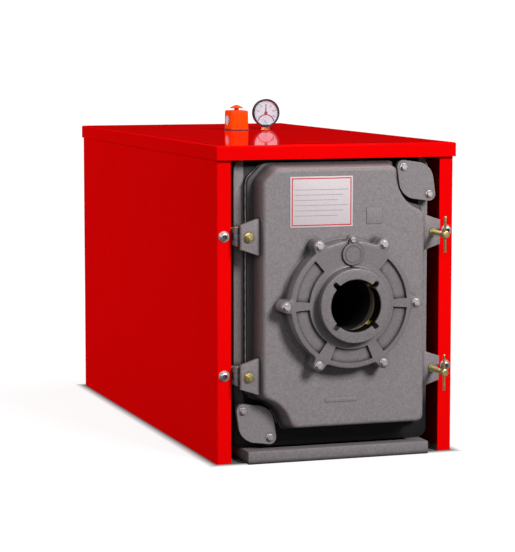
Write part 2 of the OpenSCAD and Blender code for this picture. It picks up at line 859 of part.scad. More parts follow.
module burner_plate() {
    color(iron) placed() at_burner() difference() {
        union() {
            rod_y(plate_r, plate_y, collar_y);
            rod_y(hub_r, hub_y, collar_y);
            at_ears() rod_y(ear_r, plate_y, collar_y);
            rod_y(sight_boss_r, plate_y, collar_y, 0, sight_up + sight_arm);
        }
        rod_y(burner_bore_r, hub_y - 1, collar_y + 1);
        hub_slots();
        pockets();
        at_ears() rod_y(ear_hole_r, plate_y - 1, collar_y + 1);
        rod_y(sight_hole_r, plate_y - 1, collar_y + 1, 0, sight_up);
        rod_y(sight_glass_r + skin, plate_y - 1, plate_y + sight_glass_t, 0, sight_up);
        rod_y(sight_pin_r, plate_y - 1, collar_y + 1, 0, sight_up + sight_arm);
    }
}

module plate_bolts() {
    color(zinc) placed() at_burner() at_ears() hex_bolt(ear_head_r, ear_hole_r - skin, plate_y, face_y);
}

// Rope gasket in the collar behind the burner plate

module burner_gasket() {
    color("khaki") placed() at_burner() difference() {
        rod_y(burner_clear_r - skin, collar_y, collar_y + gasket_d);
        rod_y(burner_bore_r + 1, collar_y - 1, collar_y + gasket_d + 1);
    }
}

// Sight hole: glass, pivot screw and a cover that hangs over the glass

module sight_glass() {
    color([0.8, 0.85, 0.85, 0.5]) placed() at_burner()
        rod_y(sight_glass_r, plate_y, plate_y + sight_glass_t, 0, sight_up);
}

module sight_pivot() {
    color(steel) placed() at_burner() translate([0, 0, sight_up + sight_arm]) {
        rod_y(sight_pin_r - pin_gap, sight_front - turn_gap, collar_y);
        rod_y(sight_head_r, sight_front - turn_gap - sight_head_t, sight_front - turn_gap);
    }
}

module sight_cover() {
    color(iron) placed() at_burner() translate([0, 0, sight_up]) difference() {
        union() {
            rod_y(sight_cover_r, sight_front, sight_back);
            rod_y(sight_eye_r, sight_front, sight_back, 0, sight_arm);
            along_y(sight_front, sight_back) polygon([[-sight_neck_top, sight_arm], [sight_neck_top, sight_arm],
                [sight_neck_low, sight_neck_low], [-sight_neck_low, sight_neck_low]]);
            translate([-sight_tab_w / 2, sight_front, -sight_cover_r - sight_tab])
                cube([sight_tab_w, sight_cover_t, sight_cover_r]);
        }
        rod_y(sight_pin_r + pin_gap, sight_front - 1, sight_back + 1, 0, sight_arm);
    }
}

// Hinge straps behind the left lugs, each with a knuckle between the boiler's knuckles

module hinge_strap() {
    h = knuckle_h - turn_gap;
    mirror([1, 0, 0]) difference() {
        union() {
            translate([hinge_x, hinge_y, -h / 2]) cylinder(r = knuckle_r, h = h);
            translate([strap_wide_x - 1, lug_back, -h / 2]) cube([hinge_x - strap_wide_x + 1, strap_t, h]);
            translate([strap_in_x, lug_back, -strap_h / 2])
                cube([strap_wide_x - strap_in_x, strap_t, strap_h]);
        }
        translate([hinge_x, hinge_y, -h]) cylinder(r = hinge_pin_r, h = 2 * h);
        rod_y(lug_bolt_r + turn_gap, lug_back - 1, lug_back + strap_t + 1, lug_bolt_x);
    }
}

module hinge_straps() {
    color(iron) placed() for (z = [lug_low_z, lug_high_z]) translate([0, 0, z]) hinge_strap();
}

// Bolts and nuts that hold the straps to the left lugs

module hinge_bolts() {
    color(zinc) placed() for (z = [lug_low_z, lug_high_z]) translate([-lug_bolt_x, 0, z]) {
        rod_y(lug_bolt_r, lug_front - nut_t - bolt_end, lug_back + strap_t);
        rod_y(nut_r, lug_front - nut_t, lug_front, 0, 0, 6);
        rod_y(nut_r, lug_back + strap_t, lug_back + strap_t + bolt_head_t, 0, 0, 6);
    }
}

// Clamp screws in the right lugs: a shank with a hub, turned by a T-bar

module clamp_screw() translate([lug_bolt_x, 0, 0]) difference() {
    union() {
        rod_y(lug_bolt_r, -clamp_proud, bracket_front - clamp_tip_gap);
        rod_y(clamp_hub_r, -clamp_proud, -clamp_proud + clamp_hub_l);
        rod_y(clamp_ring_r, lug_front - skin - clamp_ring_t, lug_front - skin);
        rod_y(clamp_ring_r, lug_back + skin, lug_back + skin + clamp_ring_t);
    }
    translate([0, -clamp_proud + clamp_hub_l / 2, -clamp_hub_r - 1])
        cylinder(r = clamp_bar_r + pin_gap, h = 2 * clamp_hub_r + 2);
}

module clamp_bar() translate([lug_bolt_x, -clamp_proud + clamp_hub_l / 2, -clamp_bar_l / 2])
    cylinder(r = clamp_bar_r, h = clamp_bar_l);

module upper_clamp_screw() { color(zinc) placed() translate([0, 0, lug_high_z]) clamp_screw(); }
module upper_clamp_bar() { color(zinc) placed() translate([0, 0, lug_high_z]) clamp_bar(); }
module lower_clamp_screw() { color(zinc) placed() translate([0, 0, lug_low_z]) clamp_screw(); }
module lower_clamp_bar() { color(zinc) placed() translate([0, 0, lug_low_z]) clamp_bar(); }

base_frame();
left_panel();
right_panel();
lid();
back_panel();
jacket_bolts();
front_section();
middle_section_1();
middle_section_2();
middle_section_3();
middle_section_4();
middle_section_5();
middle_section_6();
rear_section();
rear_plate();
port_covers();
cover_bolts();
flue_collar();
flow_pipe();
return_pipe();
hinge_brackets();
clamp_brackets();
hinge_pins();
thermostat_base();
thermostat_housing();
thermostat_knob();
gauge_stem();
gauge_case();
gauge_dial();
gauge_glass();
door();
door_insulation();
rope_seal();
burner_plate();
burner_gasket();
plate_bolts();
sight_glass();
sight_pivot();
hinge_straps();
hinge_bolts();
sight_cover();
upper_clamp_screw();
upper_clamp_bar();
lower_clamp_screw();
lower_clamp_bar();
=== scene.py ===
import json
import math

import bmesh
import bpy
import numpy as np
from bpy.props import FloatProperty, FloatVectorProperty, IntProperty, PointerProperty
from mathutils import Matrix, Vector


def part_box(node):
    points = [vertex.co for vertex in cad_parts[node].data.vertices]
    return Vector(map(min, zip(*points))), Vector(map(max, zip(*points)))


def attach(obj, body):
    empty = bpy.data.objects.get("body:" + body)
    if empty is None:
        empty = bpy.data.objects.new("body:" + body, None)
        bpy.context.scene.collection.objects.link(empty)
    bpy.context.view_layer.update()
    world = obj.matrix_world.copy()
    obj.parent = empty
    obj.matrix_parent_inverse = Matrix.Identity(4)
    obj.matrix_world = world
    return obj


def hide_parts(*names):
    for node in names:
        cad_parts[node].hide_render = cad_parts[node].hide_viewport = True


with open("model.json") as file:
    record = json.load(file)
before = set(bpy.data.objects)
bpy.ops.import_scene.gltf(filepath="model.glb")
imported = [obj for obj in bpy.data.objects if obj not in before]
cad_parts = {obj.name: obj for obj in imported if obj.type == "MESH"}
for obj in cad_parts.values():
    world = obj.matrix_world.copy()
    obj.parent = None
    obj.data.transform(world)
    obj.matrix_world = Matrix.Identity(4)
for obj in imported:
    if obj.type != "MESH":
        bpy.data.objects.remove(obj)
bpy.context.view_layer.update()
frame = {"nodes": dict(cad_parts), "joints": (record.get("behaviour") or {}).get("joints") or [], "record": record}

bl_info = {
    "name": "Sectional boiler dressing",
    "version": (1, 0, 0),
    "blender": (4, 5, 0),
    "location": "View3D > Sidebar > Boiler",
    "description": "Dresses the packed boiler: jacket, castings, burner door, fittings, controls and stage",
    "category": "Object",
}

MM = 0.001
JOINTS = {joint["name"]: joint for joint in frame["joints"]}
MOUNTS = {mount["name"]: mount for mount in frame["record"]["mounts"]}


def middle(node):
    """The middle of a CAD node's box."""
    low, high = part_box(node)
    return (low + high) / 2


# Places that the frame gives
BURNER = Vector(MOUNTS["burner_bore"]["pos_m"])
BURNER_BORE = MOUNTS["burner_bore"]["dims"]["r_mm"] * MM
SIGHT_PIVOT = Vector(JOINTS["sight_cover_swing"]["pos_m"])
CLAMPS = {side: Vector(JOINTS[side + "_turn"]["pos_m"]) for side in ("upper_clamp", "lower_clamp")}
LUG_HEIGHTS = [place.z for place in CLAMPS.values()]
DOOR_LOW, DOOR_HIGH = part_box("door")
ROPE_LOW, ROPE_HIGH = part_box("rope_seal")
PORTS = [Vector(MOUNTS[name]["pos_m"]) for name in ("flow_bore", "return_bore")]
COVER_FRONT, COVER_BACK = (corner.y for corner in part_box("port_covers"))
COLLAR_FRONT = DOOR_LOW.y
FLANGE_BACK = DOOR_HIGH.y
HUB_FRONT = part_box("burner_plate")[0].y
JACKET_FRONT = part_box("left_panel")[0].y
GAUGE = middle("gauge_dial")


def srgb(red, green, blue):
    """A display colour from 0 to 255 as the linear colour that the shaders use."""
    def linear(value):
        share = value / 255
        return share / 12.92 if share <= 0.04045 else ((share + 0.055) / 1.055) ** 2.4
    return tuple(linear(value) for value in (red, green, blue))


def length(name, description, default):
    """A property that holds a length in metres."""
    return FloatProperty(name=name, description=description, default=default, min=0.0, precision=4,
                         unit="LENGTH", subtype="DISTANCE")


def colour(name, description, default):
    """A property that holds a colour."""
    return FloatVectorProperty(name=name, description=description, default=default, size=3, min=0.0,
                               max=1.0, subtype="COLOR")


class JacketSizes(bpy.types.PropertyGroup):
    """Sheet metal of the jacket and its lid."""
    sheet: length("Sheet", "Thickness of the sheet steel", 1.5 * MM)
    bend: length("Bend", "Outside radius of the sheet's bends", 4 * MM)
    flange: length("Front flange", "Width of the side panels' front flanges", 37 * MM)
    rear_flange: length("Rear flange", "Width of the side panels' rear flanges", 25 * MM)
    floor_gap: length("Floor gap", "Height of the side panels' lower edges over the floor", 0.3 * MM)
    base_edge: length("Base edge", "Rounded edge of the base frame's channel", 2 * MM)


class DoorSizes(bpy.types.PropertyGroup):
    """Burner door casting with its lugs and seal."""
    seal_inset: length("Seal inset", "How far the packed rope's box lies inside the flange's outline", 3 * MM)
    corner: length("Corner", "Roundness of the door's corners", 18 * MM)
    corner_cut: length("Corner cut", "Cut of the upper left corner", 42 * MM)
    notch_gap: length("Notch gap", "Clearance of the notches round the port covers", 8 * MM)
    flange: length("Flange", "Thickness of the flange", 12 * MM)
    lip: length("Lip", "Width of the flange outside the body", 5 * MM)
    draft: length("Draft", "How much the body narrows up to its face", 7 * MM)
    narrow: length("Side lip", "How much wider the flange is at the sides", 8 * MM)
    cavity: length("Cavity", "Distance of the insulation from the flange's edge", 33 * MM)
    edge: length("Face edge", "Radius of the face's rounded edge", 9 * MM)
    fillet: length("Fillet", "Radius of the casting's inner corners", 5 * MM)
    wall: length("Wall", "Thickness of the casting", 14 * MM)
    collar: length("Collar", "Height of the collar under the burner plate", 36 * MM)
    clear: length("Burner clearance", "Radius of the way through the collar", 74 * MM)
    lug_end: length("Lug end", "Distance of the lugs' ends from the middle", DOOR_HIGH.x)
    lug_root: length("Lug root", "Height of a lug at the door", 92 * MM)
    lug_tip: length("Lug tip", "Height of a lug at its end", 62 * MM)
    lug_slope: length("Lug slope", "Length over which a lug narrows", 44 * MM)
    lug_inside: length("Lug inside", "How far a lug reaches into the door's body", 60 * MM)
    lug_back: length("Lug setback", "Distance of a lug's face behind the door's face", 20 * MM)
    lug_thickness: length("Lug thickness", "Thickness of a lug", 14 * MM)
    lug_slot: length("Lug slot", "Half width of the slot in the clamp lugs", 7.5 * MM)


class PlateSizes(bpy.types.PropertyGroup):
    """Burner plate with its ears, pockets and hub, and the sight cover."""
    radius: length("Radius", "Outer radius of the ring", 160 * MM)
    thickness: length("Thickness", "Thickness of the plate", 14 * MM)
    ear_circle: length("Ear circle", "Radius of the circle of the ear bolts", 172 * MM)
    ear: length("Ear", "Radius of an ear", 15 * MM)
    hub: length("Hub", "Radius of the hub", 93 * MM)
    slot: length("Slot", "Half width of the hub's slots", 6.5 * MM)
    slot_reach: length("Slot reach", "Radius of the ends of the hub's slots", 81 * MM)
    pocket_in: length("Pocket inside", "Inner radius of the pockets", 113 * MM)
    pocket_out: length("Pocket outside", "Outer radius of the pockets", 146 * MM)
    pocket_depth: length("Pocket depth", "Depth of the pockets", 8 * MM)
    boss: length("Boss", "Radius of the sight cover's boss", 12 * MM)
    cover: length("Sight cover", "Radius of the sight cover's disc", 27 * MM)
    eye: length("Eye", "Radius of the sight cover's eye", 9 * MM)


class FixingSizes(bpy.types.PropertyGroup):
    """Bolts, nuts, clamp screws and their threads."""
    ear_bolt: length("Ear bolt", "Radius of an ear bolt's head over its corners", 9 * MM)
    cover_bolt: length("Cover bolt", "Radius of a port cover bolt's head over its corners", 8 * MM)
    cover_bolt_circle: length("Cover bolt place", "Distance of a port cover's bolts from its middle", 50 * MM)
    cover_disc: length("Cover disc", "Radius of a port cover's round middle", 47 * MM)
    cover_end: length("Cover end", "Radius of a port cover's ends round its bolts", 17 * MM)
    thread_pitch: length("Thread pitch", "Pitch of the threads on clamp screws and hinge bolts", 1.75 * MM)
    shank: length("Shank", "Radius of the clamp screws' and hinge bolts' shanks", 6 * MM)


class ControlSizes(bpy.types.PropertyGroup):
    """Gauge and thermostat on the lid, and the plate on the door."""
    dial_marks: IntProperty(name="Dial marks", description="Number of marks round the dial", default=31,
                            min=2)
    needle: length("Needle", "Width of the main needle", 3.4 * MM)
    plate_width: length("Plate width", "Width of the door's blank plate", 166 * MM)
    plate_height: length("Plate height", "Height of the door's blank plate", 127 * MM)
    plate_left: length("Plate place", "How far the blank plate's middle lies left of the door's", 63 * MM)
    plate_up: length("Plate rise", "Height of the blank plate's middle over the burner's middle", 255 * MM)


class FinishColours(bpy.types.PropertyGroup):
    """Colours of the main finishes."""
    red: colour("Red", "Jacket paint", srgb(240, 4, 6))
    iron: colour("Iron", "Grey paint on the castings", srgb(121, 114, 116))
    base: colour("Base", "Grey paint on the base frame", srgb(113, 106, 108))
    zinc: colour("Yellow zinc", "Plating of the hinge and clamp hardware", srgb(238, 218, 150))
    steel: colour("Steel", "Plain plated steel", srgb(196, 188, 188))
    orange: colour("Orange", "Thermostat housing", srgb(236, 72, 2))


SETTINGS = {
    "boiler_jacket": JacketSizes,
    "boiler_door": DoorSizes,
    "boiler_plate": PlateSizes,
    "boiler_fixings": FixingSizes,
    "boiler_controls": ControlSizes,
    "boiler_colours": FinishColours,
}


def ramp(nodes, links, value, start, end, low, high):
    """A value taken from one range to another, and held at its ends."""
    node = nodes.new("ShaderNodeMapRange")
    for socket, number in zip(("From Min", "From Max", "To Min", "To Max"), (start, end, low, high)):
        node.inputs[socket].default_value = number
    links.new(value, node.inputs["Value"])
    return node.outputs["Result"]


VECTOR = "ShaderNodeVectorMath"


def calculated(nodes, links, operation, *sources, kind="ShaderNodeMath", result=0):
    """The result of a math node; a source is another node's socket or a constant."""
    node = nodes.new(kind)
    node.operation = operation
    for socket, source in zip(node.inputs, sources):
        if isinstance(source, bpy.types.NodeSocket):
            links.new(source, socket)
        else:
            socket.default_value = source
    return node.outputs[result]


class Finish:
    """A material under construction: its shader, and patterns on Object coordinates."""

    # Shares of open sky at which painted shade in a hollow is darkest, and at which it ends
    hollow_sky = (0.5, 0.93)
    # Upward parts of the normal at which a coat on the top begins, and at which it is whole
    facing_up = (0.97, 1.0)

    def __init__(self, name, **values):
        self.material = bpy.data.materials.new(name)
        self.material.use_nodes = True
        self.nodes = self.material.node_tree.nodes
        self.links = self.material.node_tree.links
        self.shader = self.nodes["Principled BSDF"]
        self.coords = self.nodes.new("ShaderNodeTexCoord").outputs["Object"]
        for socket, value in values.items():
            self.set(socket.replace("_", " "), value)

    def set(self, socket, value):
        """Gives one of the shader's own sockets a constant value."""
        self.shader.inputs[socket].default_value = (*value, 1.0) if isinstance(value, tuple) else value

    def noise(self, scale, detail=3.0, stretch=(1.0, 1.0, 1.0)):
        """A noise pattern, with scale in waves per metre."""
        mapping = self.nodes.new("ShaderNodeMapping")
        mapping.inputs["Scale"].default_value = stretch
        self.links.new(self.coords, mapping.inputs["Vector"])
        node = self.nodes.new("ShaderNodeTexNoise")
        node.inputs["Scale"].default_value = scale
        node.inputs["Detail"].default_value = detail
        self.links.new(mapping.outputs["Vector"], node.inputs["Vector"])
        return node.outputs["Fac"]

    def reach(self, axes, centre):
        """How far the surface lies from a line or a plane through a point, over the axes given."""
        shift = [-share * place for share, place in zip(axes, centre)]
        offset = calculated(self.nodes, self.links, "MULTIPLY_ADD", self.coords, axes, shift, kind=VECTOR)
        return calculated(self.nodes, self.links, "LENGTH", offset, kind=VECTOR, result="Value")

    def ramp(self, value, start, end, low=0.0, high=1.0):
        """A value taken from one range to another, and held at its ends."""
        return ramp(self.nodes, self.links, value, start, end, low, high)

    def tint(self, factor, dark, light, low=0.3, high=0.7):
        """Colours the surface between two tones by a pattern."""
        tones = self.nodes.new("ShaderNodeValToRGB")
        for element, place, tone in zip(tones.color_ramp.elements, (low, high), (dark, light)):
            element.position = place
            element.color = (*tone, 1.0)
        self.links.new(factor, tones.inputs["Fac"])
        self.links.new(tones.outputs["Color"], self.shader.inputs["Base Color"])

    def darken(self, share, dark):
        """Takes the colour to a dark tone where a share falls to nothing."""
        paint = self.shader.inputs["Base Color"].links[0].from_socket
        mix = self.nodes.new("ShaderNodeMixRGB")
        mix.inputs["Color1"].default_value = (*dark, 1.0)
        self.links.new(share, mix.inputs["Fac"])
        self.links.new(paint, mix.inputs["Color2"])
        self.links.new(mix.outputs["Color"], self.shader.inputs["Base Color"])

    def darken_hollows(self, reach, dark):
        """Paints shade into corners and hollows, up to a reach in metres."""
        hollow = self.nodes.new("ShaderNodeAmbientOcclusion")
        hollow.inputs["Distance"].default_value = reach
        self.darken(self.ramp(hollow.outputs["AO"], *self.hollow_sky), dark)

    def coat_on_top(self, weight):
        """A clear coat on what faces straight up."""
        sides = self.nodes.new("ShaderNodeSeparateXYZ")
        self.links.new(self.coords.node.outputs["Normal"], sides.inputs[0])
        coat = self.ramp(sides.outputs["Z"], *self.facing_up, 0.0, weight)
        self.links.new(coat, self.shader.inputs["Coat Weight"])

    def roughen(self, factor, low, high):
        """Varies the roughness by a pattern."""
        self.links.new(self.ramp(factor, 0.0, 1.0, low, high), self.shader.inputs["Roughness"])

    def bump(self, *layers):
        """Stacks relief layers, each a pattern, a strength and a depth in metres."""
        under = None
        for height, strength, depth in layers:
            node = self.nodes.new("ShaderNodeBump")
            node.inputs["Strength"].default_value = strength
            node.inputs["Distance"].default_value = depth
            self.links.new(height, node.inputs["Height"])
            if under:
                self.links.new(under, node.inputs["Normal"])
            under = node.outputs["Normal"]
        self.links.new(under, self.shader.inputs["Normal"])


def shade(tone, share):
    """A tone made darker or lighter by a share."""
    return tuple(min(1.0, value * share) for value in tone)


# Colour of painted shade, and the ranges over which it fades: inside the rope seal from the middle, on the door
# in front of the seal, and in the burner's bore from its axis
PAINTED_SHADE = srgb(8, 7, 7)
SEAL_SHADE = (ROPE_HIGH.x + 2 * MM, ROPE_HIGH.x + 6 * MM)
DOOR_SHADE = (8 * MM, 48 * MM)
BORE_SHADE = (BURNER_BORE + 0.5 * MM, BURNER_BORE + 2 * MM)
# Heights between which painted shade on the front section fades out above the floor
FOOT_SHADE = (0.12, 0.26)
# Distances from the burner's axis between which painted shade on the insulating board fades out
BOARD_SHADE = (0.085, 0.15)


def red_finish(colours, name):
    """Glossy red paint on sheet steel."""
    tone = tuple(colours.red)
    finish = Finish(name, Metallic=0.2, Specular_IOR_Level=0.0, Specular_Tint=(1.0, 0.03, 0.03))
    finish.tint(finish.noise(5.0, 2.0), shade(tone, 0.985), shade(tone, 1.01))
    finish.roughen(finish.noise(30.0), 0.05, 0.09)
    finish.bump((finish.noise(300.0, 1.0), 0.006, 0.2 * MM))
    return finish


def red_paint(colours):
    return red_finish(colours, "red paint").material


def lid_paint(colours):
    finish = red_finish(colours, "lid paint")
    finish.coat_on_top(0.5)
    return finish.material


def cast_finish(name, tone, grain=0.5, rough=(0.48, 0.68)):
    """Paint on a rough casting, with painted shade in its hollows."""
    tone = tuple(tone)
    finish = Finish(name, Specular_IOR_Level=0.42)
    finish.tint(finish.noise(210.0, 8.0), shade(tone, 0.8), shade(tone, 1.14))
    # Painted shade: corners and hollows are darkened
    finish.darken_hollows(14 * MM, shade(tone, 0.12))
    finish.roughen(finish.noise(60.0, 4.0), *rough)
    finish.bump((finish.noise(70.0, 3.0), 0.16, 1.2 * MM), (finish.noise(320.0, 4.0), grain, 0.7 * MM))
    return finish


def cast_paint(colours):
    return cast_finish("cast iron", colours.iron).material


def door_paint(colours):
    """Grey paint with painted shade that deepens towards the seal."""
    finish = cast_finish("door iron", colours.iron)
    joint = finish.reach((0.0, 1.0, 0.0), (0.0, FLANGE_BACK, 0.0))
    # Painted shade in the joint behind the door, darkest at the flange's back
    finish.darken(finish.ramp(joint, *DOOR_SHADE), shade(colours.iron, 0.2))
    return finish.material


def section_paint(colours):
    """Grey paint on a casting, with painted shade near the floor and inside the seal."""
    finish = cast_finish("section iron", shade(colours.iron, 1.16))
    height = finish.reach((0.0, 0.0, 1.0), (0.0, 0.0, 0.0))
    # Painted shade: black near the floor
    finish.darken(finish.ramp(height, *FOOT_SHADE), PAINTED_SHADE)
    joint = finish.reach((1.0, 0.0, 0.0), (0.0, 0.0, 0.0))
    # Painted shade: black inside the seal
    finish.darken(finish.ramp(joint, *SEAL_SHADE), PAINTED_SHADE)
    return finish.material


def plate_paint(colours):
    """Grey paint, with painted shade in the bore."""
    finish = cast_finish("plate iron", shade(colours.iron, 0.84), rough=(0.3, 0.46))
    bore = finish.reach((1.0, 0.0, 1.0), BURNER)
    # Painted shade on the bore's walls
    finish.darken(finish.ramp(bore, *BORE_SHADE), srgb(16, 15, 15))
    return finish.material


def base_paint(colours):
    return cast_finish("base paint", colours.base, 0.25).material


def yellow_zinc(colours):
    tone = tuple(colours.zinc)
    finish = Finish("yellow zinc", Metallic=1.0)
    finish.tint(finish.noise(90.0, 4.0), shade(tone, 0.66), shade(tone, 1.08))
    finish.roughen(finish.noise(140.0), 0.22, 0.42)
    finish.bump((finish.noise(500.0), 0.1, 0.15 * MM))
    return finish.material


def plain_steel(colours):
    tone = tuple(colours.steel)
    finish = Finish("plain steel", Metallic=1.0)
    finish.tint(finish.noise(120.0, 4.0), shade(tone, 0.72), tone)
    finish.roughen(finish.noise(200.0), 0.36, 0.56)
    finish.bump((finish.noise(420.0), 0.08, 0.15 * MM))
    return finish.material


def brass(colours):
    tone = srgb(214, 172, 96)
    finish = Finish("brass", Metallic=1.0)
    finish.tint(finish.noise(160.0), shade(tone, 0.7), tone)
    finish.roughen(finish.noise(220.0), 0.2, 0.36)
    finish.bump((finish.noise(600.0, 2.0, (1.0, 1.0, 8.0)), 0.08, 0.1 * MM))
    return finish.material


def black_plastic(colours):
    # Black plastic, also used as painted shade in screw slots and sockets
    finish = Finish("black plastic")
    finish.tint(finish.noise(200.0), srgb(42, 36, 40), srgb(62, 55, 60))
    finish.roughen(finish.noise(300.0), 0.4, 0.6)
    finish.bump((finish.noise(900.0), 0.15, 0.1 * MM))
    return finish.material


def orange_plastic(colours):
    tone = tuple(colours.orange)
    finish = Finish("orange plastic", Specular_IOR_Level=0.03)
    finish.tint(finish.noise(70.0, 2.0), shade(tone, 0.95), shade(tone, 1.03))
    finish.roughen(finish.noise(120.0), 0.3, 0.42)
    finish.bump((finish.noise(800.0, 1.0), 0.06, 0.1 * MM))
    return finish.material


def gauge_enamel(colours):
    finish = Finish("gauge enamel")
    finish.tint(finish.noise(150.0), srgb(34, 24, 30), srgb(58, 44, 52))
    finish.roughen(finish.noise(250.0), 0.16, 0.3)
    finish.bump((finish.noise(700.0, 1.0), 0.05, 0.1 * MM))
    return finish.material


def dial_white(colours):
    finish = Finish("dial white", Specular_IOR_Level=0.2)
    finish.tint(finish.noise(160.0, 2.0), srgb(184, 206, 218), srgb(194, 214, 226))
    finish.roughen(finish.noise(240.0), 0.35, 0.5)
    finish.bump((finish.noise(900.0), 0.03, 0.05 * MM))
    return finish.material


def clear_glass(colours):
    finish = Finish("clear glass", Alpha=0.03, Roughness=0.03)
    finish.tint(finish.noise(60.0, 1.0), srgb(236, 240, 242), srgb(250, 252, 252))
    return finish.material


def furnace_glass(colours):
    finish = Finish("furnace glass", Specular_IOR_Level=0.6)
    finish.tint(finish.noise(120.0), srgb(20, 24, 34), srgb(38, 44, 58))
    finish.roughen(finish.noise(160.0), 0.05, 0.12)
    return finish.material


def refractory(colours):
    finish = Finish("refractory board")
    finish.tint(finish.noise(70.0, 8.0), srgb(176, 166, 148), srgb(206, 194, 172))
    # Painted shade: the board is dark round the burner's hole
    finish.darken(finish.ramp(finish.reach((1.0, 0.0, 1.0), BURNER), *BOARD_SHADE), srgb(26, 24, 22))
    finish.roughen(finish.noise(90.0), 0.85, 0.98)
    finish.bump((finish.noise(45.0, 5.0), 0.5, 2 * MM), (finish.noise(500.0, 4.0), 0.5, 0.5 * MM))
    return finish.material


def rope_fibre(colours):
    finish = Finish("rope fibre", Sheen_Weight=0.3, Sheen_Roughness=0.5)
    finish.tint(finish.noise(240.0, 5.0), srgb(206, 202, 196), srgb(248, 245, 240))
    finish.roughen(finish.noise(300.0), 0.8, 0.95)
    finish.bump((finish.noise(1100.0, 3.0), 0.5, 0.4 * MM))
    return finish.material


def gasket_cord(colours):
    finish = Finish("gasket cord", Sheen_Weight=0.2)
    finish.tint(finish.noise(300.0, 4.0), srgb(190, 160, 50), srgb(232, 206, 96))
    finish.roughen(finish.noise(300.0), 0.7, 0.9)
    finish.bump((finish.noise(900.0, 3.0), 0.5, 0.4 * MM))
    return finish.material


def printed(name, tone):
    """Builds the maker of a thin printed colour, as on a dial or a plate."""
    def make(colours):
        finish = Finish(name, Specular_IOR_Level=0.2)
        finish.tint(finish.noise(300.0), shade(tone, 0.9), tone)
        finish.roughen(finish.noise(300.0), 0.4, 0.55)
        return finish.material
    return make


FINISHES = {
    "red_paint": red_paint,
    "lid_paint": lid_paint,
    "cast_iron": cast_paint,
    "base_paint": base_paint,
    "door_iron": door_paint,
    "plate_iron": plate_paint,
    "section_iron": section_paint,
    "yellow_zinc": yellow_zinc,
    "plain_steel": plain_steel,
    "brass": brass,
    "black_plastic": black_plastic,
    "orange_plastic": orange_plastic,
    "gauge_case": gauge_enamel,
    "dial_white": dial_white,
    "label_white": printed("label white", srgb(196, 186, 189)),
    "clear_glass": clear_glass,
    "furnace_glass": furnace_glass,
    "refractory": refractory,
    "rope": rope_fibre,
    "gasket": gasket_cord,
    "print_red": printed("red print", srgb(190, 16, 28)),
    "dial_red": printed("dial red", srgb(128, 4, 30)),
    "print_black": printed("black print", srgb(28, 26, 30)),
    "print_grey": printed("grey print", srgb(150, 148, 152)),
}
made_finishes = {}


def finish_of(name):
    """The material of that finish, made once."""
    if name not in made_finishes:
        made_finishes[name] = FINISHES[name](bpy.context.scene.boiler_colours)
    return made_finishes[name]


# Edges that turn by more degrees than this are shaded sharp
SHARP = 32.0

# CAD meshes: nearer points are merged, flatter faces are joined, and sharper edges are rounded
WELD = 0.02 * MM
FLAT_ANGLE = math.radians(0.5)
ROUND_ANGLE = math.radians(40)


def mesh_of(name, bm):
    """A mesh made from a bmesh, which goes away."""
    mesh = bpy.data.meshes.new(name)
    bm.to_mesh(mesh)
    bm.free()
    return mesh


def add_piece(name, bm, finish, body, replaces=(), sharp=SHARP):
    """Turns a bmesh, with its faces pointed outwards, into a finished piece that rides on a body."""
    outward(bm)
    return add_mesh(name, mesh_of(name, bm), finish, body, replaces, sharp)


def add_mesh(name, mesh, finish, body, replaces=(), sharp=SHARP):
    """Makes a mesh a piece: smooth but for its sharp edges, with its finish and body."""
    mesh.shade_smooth()
    mesh.set_sharp_from_angle(angle=math.radians(sharp))
    mesh.materials.clear()
    mesh.materials.append(finish_of(finish))
    piece = bpy.data.objects.new(name, mesh)
    bpy.context.scene.collection.objects.link(piece)
    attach(piece, body)
    if replaces:
        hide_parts(*replaces)
    return piece


def baked(source):
    """A plain mesh of an object with its modifiers applied; the object goes away."""
    graph = bpy.context.evaluated_depsgraph_get()
    graph.update()
    mesh = bpy.data.meshes.new_from_object(source.evaluated_get(graph), depsgraph=graph)
    source.modifiers.clear()
    bpy.data.objects.remove(source)
    return mesh


def loose_object(name, mesh):
    """An object that only carries modifiers until it is baked."""
    source = bpy.data.objects.new(name, mesh)
    bpy.context.scene.collection.objects.link(source)
    return source


def softened(node, name, finish, body, edge, segments=2):
    """A copy of a CAD node's mesh with its edges rounded, which replaces the node."""
    bm = bmesh.new()
    bm.from_mesh(frame["nodes"][node].data)
    bmesh.ops.remove_doubles(bm, verts=bm.verts, dist=WELD)
    bmesh.ops.dissolve_limit(bm, angle_limit=FLAT_ANGLE, verts=bm.verts, edges=bm.edges)
    source = loose_object(name + ".source", mesh_of(name, bm))
    bevel = source.modifiers.new("Edge", "BEVEL")
    bevel.width = edge
    bevel.segments = segments
    bevel.limit_method = "ANGLE"
    bevel.angle_limit = ROUND_ANGLE
    return add_mesh(name, baked(source), finish, body, [node])


def bridge(bm, first, second):
    """Joins two rings of vertices with faces; a ring of one vertex is a pole."""
    count = max(len(first), len(second))
    for i in range(count):
        j = (i + 1) % count
        if len(first) == 1:
            bm.faces.new((first[0], second[j], second[i]))
        elif len(second) == 1:
            bm.faces.new((first[i], first[j], second[0]))
        else:
            bm.faces.new((first[i], first[j], second[j], second[i]))


def loft(bm, rings, closed=False):
    """Skins rings of points in order; a closed loft joins the last to the first."""
    loops = [[bm.verts.new(point) for point in ring] for ring in rings]
    for first, second in zip(loops, loops[1:]):
        bridge(bm, first, second)
    if closed:
        bridge(bm, loops[-1], loops[0])


# Directions along, across and up for a shape turned on each axis
AXES = {"X": (Vector((1, 0, 0)), Vector((0, 1, 0)), Vector((0, 0, 1))),
        "Y": (Vector((0, 1, 0)), Vector((0, 0, 1)), Vector((1, 0, 0))),
        "Z": (Vector((0, 0, 1)), Vector((1, 0, 0)), Vector((0, 1, 0)))}


# Radii smaller than this are drawn as one point on the axis
POLE = 0.001 * MM


